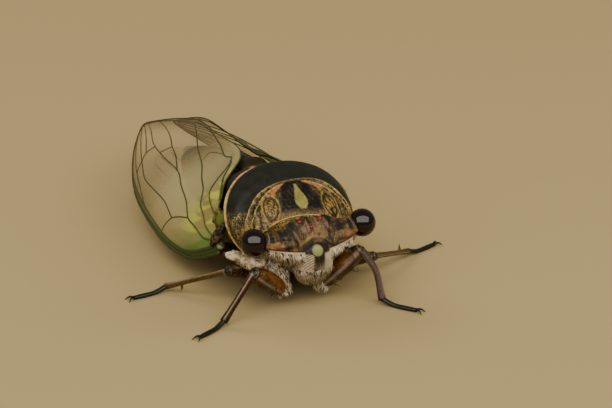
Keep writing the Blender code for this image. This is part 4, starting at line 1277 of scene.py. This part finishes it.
def ribbed(spots, share, turn):
    """Low keels along a leg piece."""
    return 0.03 * np.cos(3 * turn) * blend_at(share, 0.08, 0.16) * blend_at(share, 0.95, 0.85)


def coxa_dye(spots, share, turn):
    return layered(CREAM * 0.55, spots, (0.3 + 0.5 * wobble(spots, 0.35, 63), UMBER * 1.6))


def join_pieces(pieces):
    """Join pieces into the first one."""
    name = pieces[0].name
    bpy.ops.object.select_all(action="DESELECT")
    for piece in pieces:
        piece.select_set(True)
    bpy.context.view_layer.objects.active = pieces[0]
    bpy.ops.object.join()
    pieces[0].name = name
    return pieces[0]


def thorns(path, radii, shares, away):
    """Row of spines along a leg piece, rooted on its axis."""
    axis = unit(path[-1] - path[0])
    made = []
    for index, share in enumerate(shares):
        out = away - axis * (away @ axis)
        if len(shares) > 2 and index % 2:
            out = np.array(Matrix.Rotation(SPINE_TURN, 3, axis.tolist()) @ Vector(out))
        out = unit(unit(out) + axis * SPINE_LEAN)
        root = along(path, np.array([share]))[0]
        length = along(radii, np.array([share]))[0, 0] + SPINE_LENGTH
        spine_base = swept([root, root + out * length * 0.5, root + out * length], SPINE_RADII, keel=axis)
        made.append(shell("spine", 10, 14, spine_base, None, plain_dye(UMBER), stay))
    return made


leg_finish = finish("leg shell", 0.34, coat=0.2, grain=0.4)
coxa_finish = finish("coxa shell", 0.55, grain=0.35)
leg_bases = {}
for (pair, label), places in LEG_JOINTS.items():
    hip, trochanter, knee, ankle, toe = [np.array(place) for place in places]
    bow = (knee + ankle) / 2 + TIBIA_BOW.get((pair, label), (0, 0, 0))
    coxa_base = swept([hip, (hip + trochanter) / 2, trochanter], COXA_RADII[pair])
    femur_base = swept([trochanter, knee], FEMUR_RADII[pair])
    tibia_base = swept([knee, bow, ankle], TIBIA_RADII[pair])
    leg_bases[pair, label] = [
        ("hip", coxa_base, trochanter - hip), ("femur", femur_base, knee - trochanter),
        ("tibia", tibia_base, ankle - knee),
    ]
    coxa = shell(f"{pair}_coxa_skin_{label}", 48, 60, coxa_base, None, coxa_dye, stay)
    dress(coxa, coxa_finish, "coxa", f"{pair}_coxa_{label}")
    turns = FEMUR_TURNS.get((pair, label), (1.3, 2.2))
    femur = shell(f"{pair}_femur_skin_{label}", 48, 90, femur_base, ribbed, femur_colour_and_highlight(*turns), stay)
    below = thorns([trochanter, knee], FEMUR_RADII[pair], FEMUR_SPINES[pair], ankle - knee)
    dress(join_pieces([femur] + below), leg_finish, "femur", f"{pair}_femur_{label}")
    tibia_colour = TIBIA_OLIVE if pair == "mid" else TIBIA_BROWN
    tibia = shell(
        f"{pair}_tibia_skin_{label}", 32, 110, tibia_base, ribbed, tibia_dye(tibia_colour), stay)
    behind = thorns([knee, bow, ankle], TIBIA_RADII[pair], TIBIA_SPINES[pair], np.array((0, 1, -0.4)))
    dress(join_pieces([tibia] + behind), leg_finish, "tibia", f"{pair}_tibia_{label}")
    instep = ankle + (toe - ankle) * INSTEP
    instep[2] = toe[2]
    ahead = unit(toe - instep)
    foot_base = swept([ankle, instep, toe], TARSUS_RADII, flat=0.85)
    foot = [shell(f"{pair}_foot_{label}", 24, 60, foot_base, None, plain_dye(BLACK * 1.5), grounded)]
    for turn in (CLAW_SPREAD, -CLAW_SPREAD):
        out = np.array(Matrix.Rotation(turn, 3, "Z") @ Vector(ahead))
        tip = toe + out * CLAW_LENGTH
        tip[2] = CLAW_TIP_HEIGHT
        bend = toe + out * CLAW_LENGTH * 0.5
        bend[2] = CLAW_BEND_HEIGHT
        claw_base = swept([toe - ahead * 0.1, bend, tip], CLAW_RADII)
        foot.append(shell("claw", 10, 20, claw_base, None, plain_dye(BLACK), grounded))
    dress(join_pieces(foot), leg_finish, "tarsus", f"{pair}_tarsus_{label}")


# The hair: cream on the cheeks, lower face, hips and underside, gold down on the shield and the
# head, and silver on the abdomen. Each tuft is three tapering spikes that bend along the coat.
HAIRS = 3
CORNERS = 7
TRIES = 14
HAIR_CREAM = np.array((0.90, 0.79, 0.60))
HAIR_GOLD = np.array((0.42, 0.27, 0.09))
HAIR_SILVER = np.array((0.50, 0.46, 0.38))
PATCH_RADIUS = 0.0015
HAIR_FLOOR = 0.00002
HAIR_FACES = [(0, 2, 1), (3, 4, 6), (4, 5, 6), (5, 3, 6)]
for third in range(3):
    after = (third + 1) % 3
    HAIR_FACES += [(third, after, after + 3), (third, after + 3, third + 3)]
# Brightness of each hair's corners from root to tip: darker at the roots as painted shade deep in the
# coat.
HAIR_PAINTED_SHADE = [0.4, 0.4, 0.4, 1.0, 1.0, 1.0, 1.2]


def coat(name, base, count, cover, lie, length, colour, seed, settle=lean, thick=0.038, lift=0.3):
    """Seeded tufts over a surface: more where cover is high, lying the way that lie points."""
    rng = np.random.default_rng(seed)
    turn = rng.uniform(-math.pi, math.pi, count * TRIES)
    share = rng.uniform(0.02, 0.98, count * TRIES)
    spots = base(turn, share)
    out, size = facing(base, turn, share)
    chance = size / np.quantile(size, 0.97) * np.clip(cover(*spots.T), 0, 1)
    keep = np.flatnonzero(chance > rng.uniform(0, 1, len(turn)))[:count]
    keep = np.repeat(keep, HAIRS)
    spots, out, turn, share = spots[keep], out[keep], turn[keep], share[keep]
    ahead = np.broadcast_to(lie(spots), spots.shape)
    ahead = unit(ahead - out * np.sum(ahead * out, axis=1)[:, None])
    across = np.cross(out, ahead)
    splay = rng.normal(0, 0.3, (len(keep), 1))
    way = unit(ahead + across * splay + out * (lift + rng.normal(0, 0.1, (len(keep), 1))))
    reach = (length * rng.uniform(0.55, 1.15, len(keep)))[:, None]
    root = spots + across * rng.normal(0, 0.05, (len(keep), 1)) - out * 0.05
    middle = root + way * reach * 0.55
    tip = middle + unit(way + ahead * 0.35 - out * 0.25 + across * splay * 0.4) * reach * 0.45
    rise = unit(np.cross(way, across))
    corners = []
    for radius, place in ((thick, root), (thick * 0.65, middle)):
        for third in range(3):
            turned = third * math.tau / 3
            corners.append(place + (across * math.cos(turned) + rise * math.sin(turned)) * radius)
    corners = np.stack(corners + [tip], axis=1)
    faces = (np.array(HAIR_FACES) + np.arange(len(keep))[:, None, None] * CORNERS).reshape(-1, 3)
    placed = to_frame(corners.reshape(-1, 3), settle)
    placed[:, 2] = np.maximum(placed[:, 2], HAIR_FLOOR)
    mesh = bpy.data.meshes.new(name)
    mesh.from_pydata(placed.tolist(), [], faces.tolist())
    mesh.shade_smooth()
    tufts = len(keep) // HAIRS
    # Each tuft gets a random tone, and about one in four is made almost black as painted shade in the
    # gaps between the locks.
    tuft_tone_and_shade = rng.uniform(0.6, 1.2, tufts)
    tuft_tone_and_shade = tuft_tone_and_shade * rng.choice([1, 0.12], tufts, p=[0.72, 0.28])
    tone_and_shade = np.repeat(tuft_tone_and_shade, CORNERS * HAIRS) * np.tile(HAIR_PAINTED_SHADE, len(keep))
    lay_dye(mesh, np.tile(colour, (len(placed), 1)) * tone_and_shade[:, None])
    spin = np.arange(len(placed)) % (CORNERS * HAIRS) / (CORNERS * HAIRS) * math.tau
    u = np.repeat(turn / math.tau + 0.5, CORNERS) + PATCH_RADIUS * np.cos(spin)
    v = np.repeat(share, CORNERS) + PATCH_RADIUS * np.sin(spin)
    patches = np.stack([u, v], axis=1)[faces.ravel()]
    mesh.uv_layers.new(name="OFBake").data.foreach_set("uv", patches.ravel())
    piece = bpy.data.objects.new(name, mesh)
    bpy.context.scene.collection.objects.link(piece)
    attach(piece, "root")
    dress(piece, hair_finish, "hair")


def lie_to(x, y, z):
    """Lie of a coat, spread outwards from the middle by its first number."""
    return lambda spots: np.stack(
        [x * np.sign(spots[:, 0]), np.full(len(spots), y), np.full(len(spots), z)], axis=1)


def everywhere(x, y, z):
    return 1


hair_finish = finish("fine hair", 0.5, grain=0.1, bump=0.0, specular=0.3)
coat(
    "cheek_hair", head_base, 6400,
    lambda x, y, z: blend_at(z - 0.11 * np.abs(x), 6.25, 6.0) * blend_at(y, 2.6, 1.6),
    lie_to(-0.35, 0.25, -1.0), 1.0, HAIR_CREAM, 101, nod, 0.036,
)
coat(
    "face_hair", face_base, 1500,
    lambda x, y, z: blend_at(z, 4.6, 3.9) * blend_at(y, 1.0, 0.0),
    lie_to(-0.1, 0.1, -1.0), 0.8, HAIR_CREAM * 0.9, 102, nod, 0.03, 0.5,
)
coat(
    "crown_down", head_base, 3200,
    lambda x, y, z: blend_at(z - 0.11 * np.abs(x), 6.5, 6.8) * 0.8
    * (1 - head_marks(np.stack([x, y, z], axis=1))["ink"]),
    lie_to(0.5, -1.0, -0.3), 0.24, HAIR_GOLD * 0.8, 103, nod, 0.014,
)
coat(
    "shield_down", pronotum_base, 3000,
    lambda x, y, z: 0.05 + 0.95 * blend_at(z, 9.0, 8.0) * blend_at(z, 5.4, 6.2),
    lie_to(0.5, 1.0, -0.3), 0.2, HAIR_GOLD * 0.75, 104, lean, 0.012, 0.25,
)
coat(
    "underside_hair", mesothorax_base, 3000, lambda x, y, z: blend_at(z, 6.8, 5.2),
    lie_to(0.2, 0.5, -1.0), 0.8, HAIR_CREAM, 105,
)
coat(
    "throat_hair", pronotum_base, 3400,
    lambda x, y, z: np.maximum(blend_at(z, 5.4, 4.6), blend_at(z, 6.3, 5.7) * blend_at(y, 2.0, 1.4)),
    lie_to(0.1, 0.3, -1.0), 0.9, HAIR_CREAM, 106,
)
coat(
    "abdomen_hair", abdomen_base, 2600, lambda x, y, z: 0.15 + 0.85 * blend_at(z, 6.0, 4.0),
    lie_to(0.1, 1.0, -0.2), 0.4, HAIR_SILVER, 107, lean, 0.014,
)
for index, (label, base) in enumerate(lobe_bases.items()):
    coat(
        f"lobe_hair_{label}", base, 500, everywhere, lie_to(0.6, 0.1, -1.0), 0.4, HAIR_CREAM,
        140 + index, lean, 0.025,
    )
FORE_HIP_TUFTS = 1300
LEG_COATS = {
    "hip": (500, 0.75, HAIR_CREAM, 110, 0.038),
    "femur": (500, 0.4, HAIR_GOLD, 120, 0.014),
    "tibia": (220, 0.3, HAIR_GOLD * 0.7, 130, 0.011),
}
for index, ((pair, label), bases) in enumerate(leg_bases.items()):
    for part, base, way in bases:
        count, length, colour, seed, thick = LEG_COATS[part]
        if (pair, part) == ("fore", "hip"):
            count = FORE_HIP_TUFTS
        coat(
            f"{pair}_{part}_hair_{label}", base, count, everywhere, lambda spots: way,
            length, colour, seed + index, stay, thick,
        )
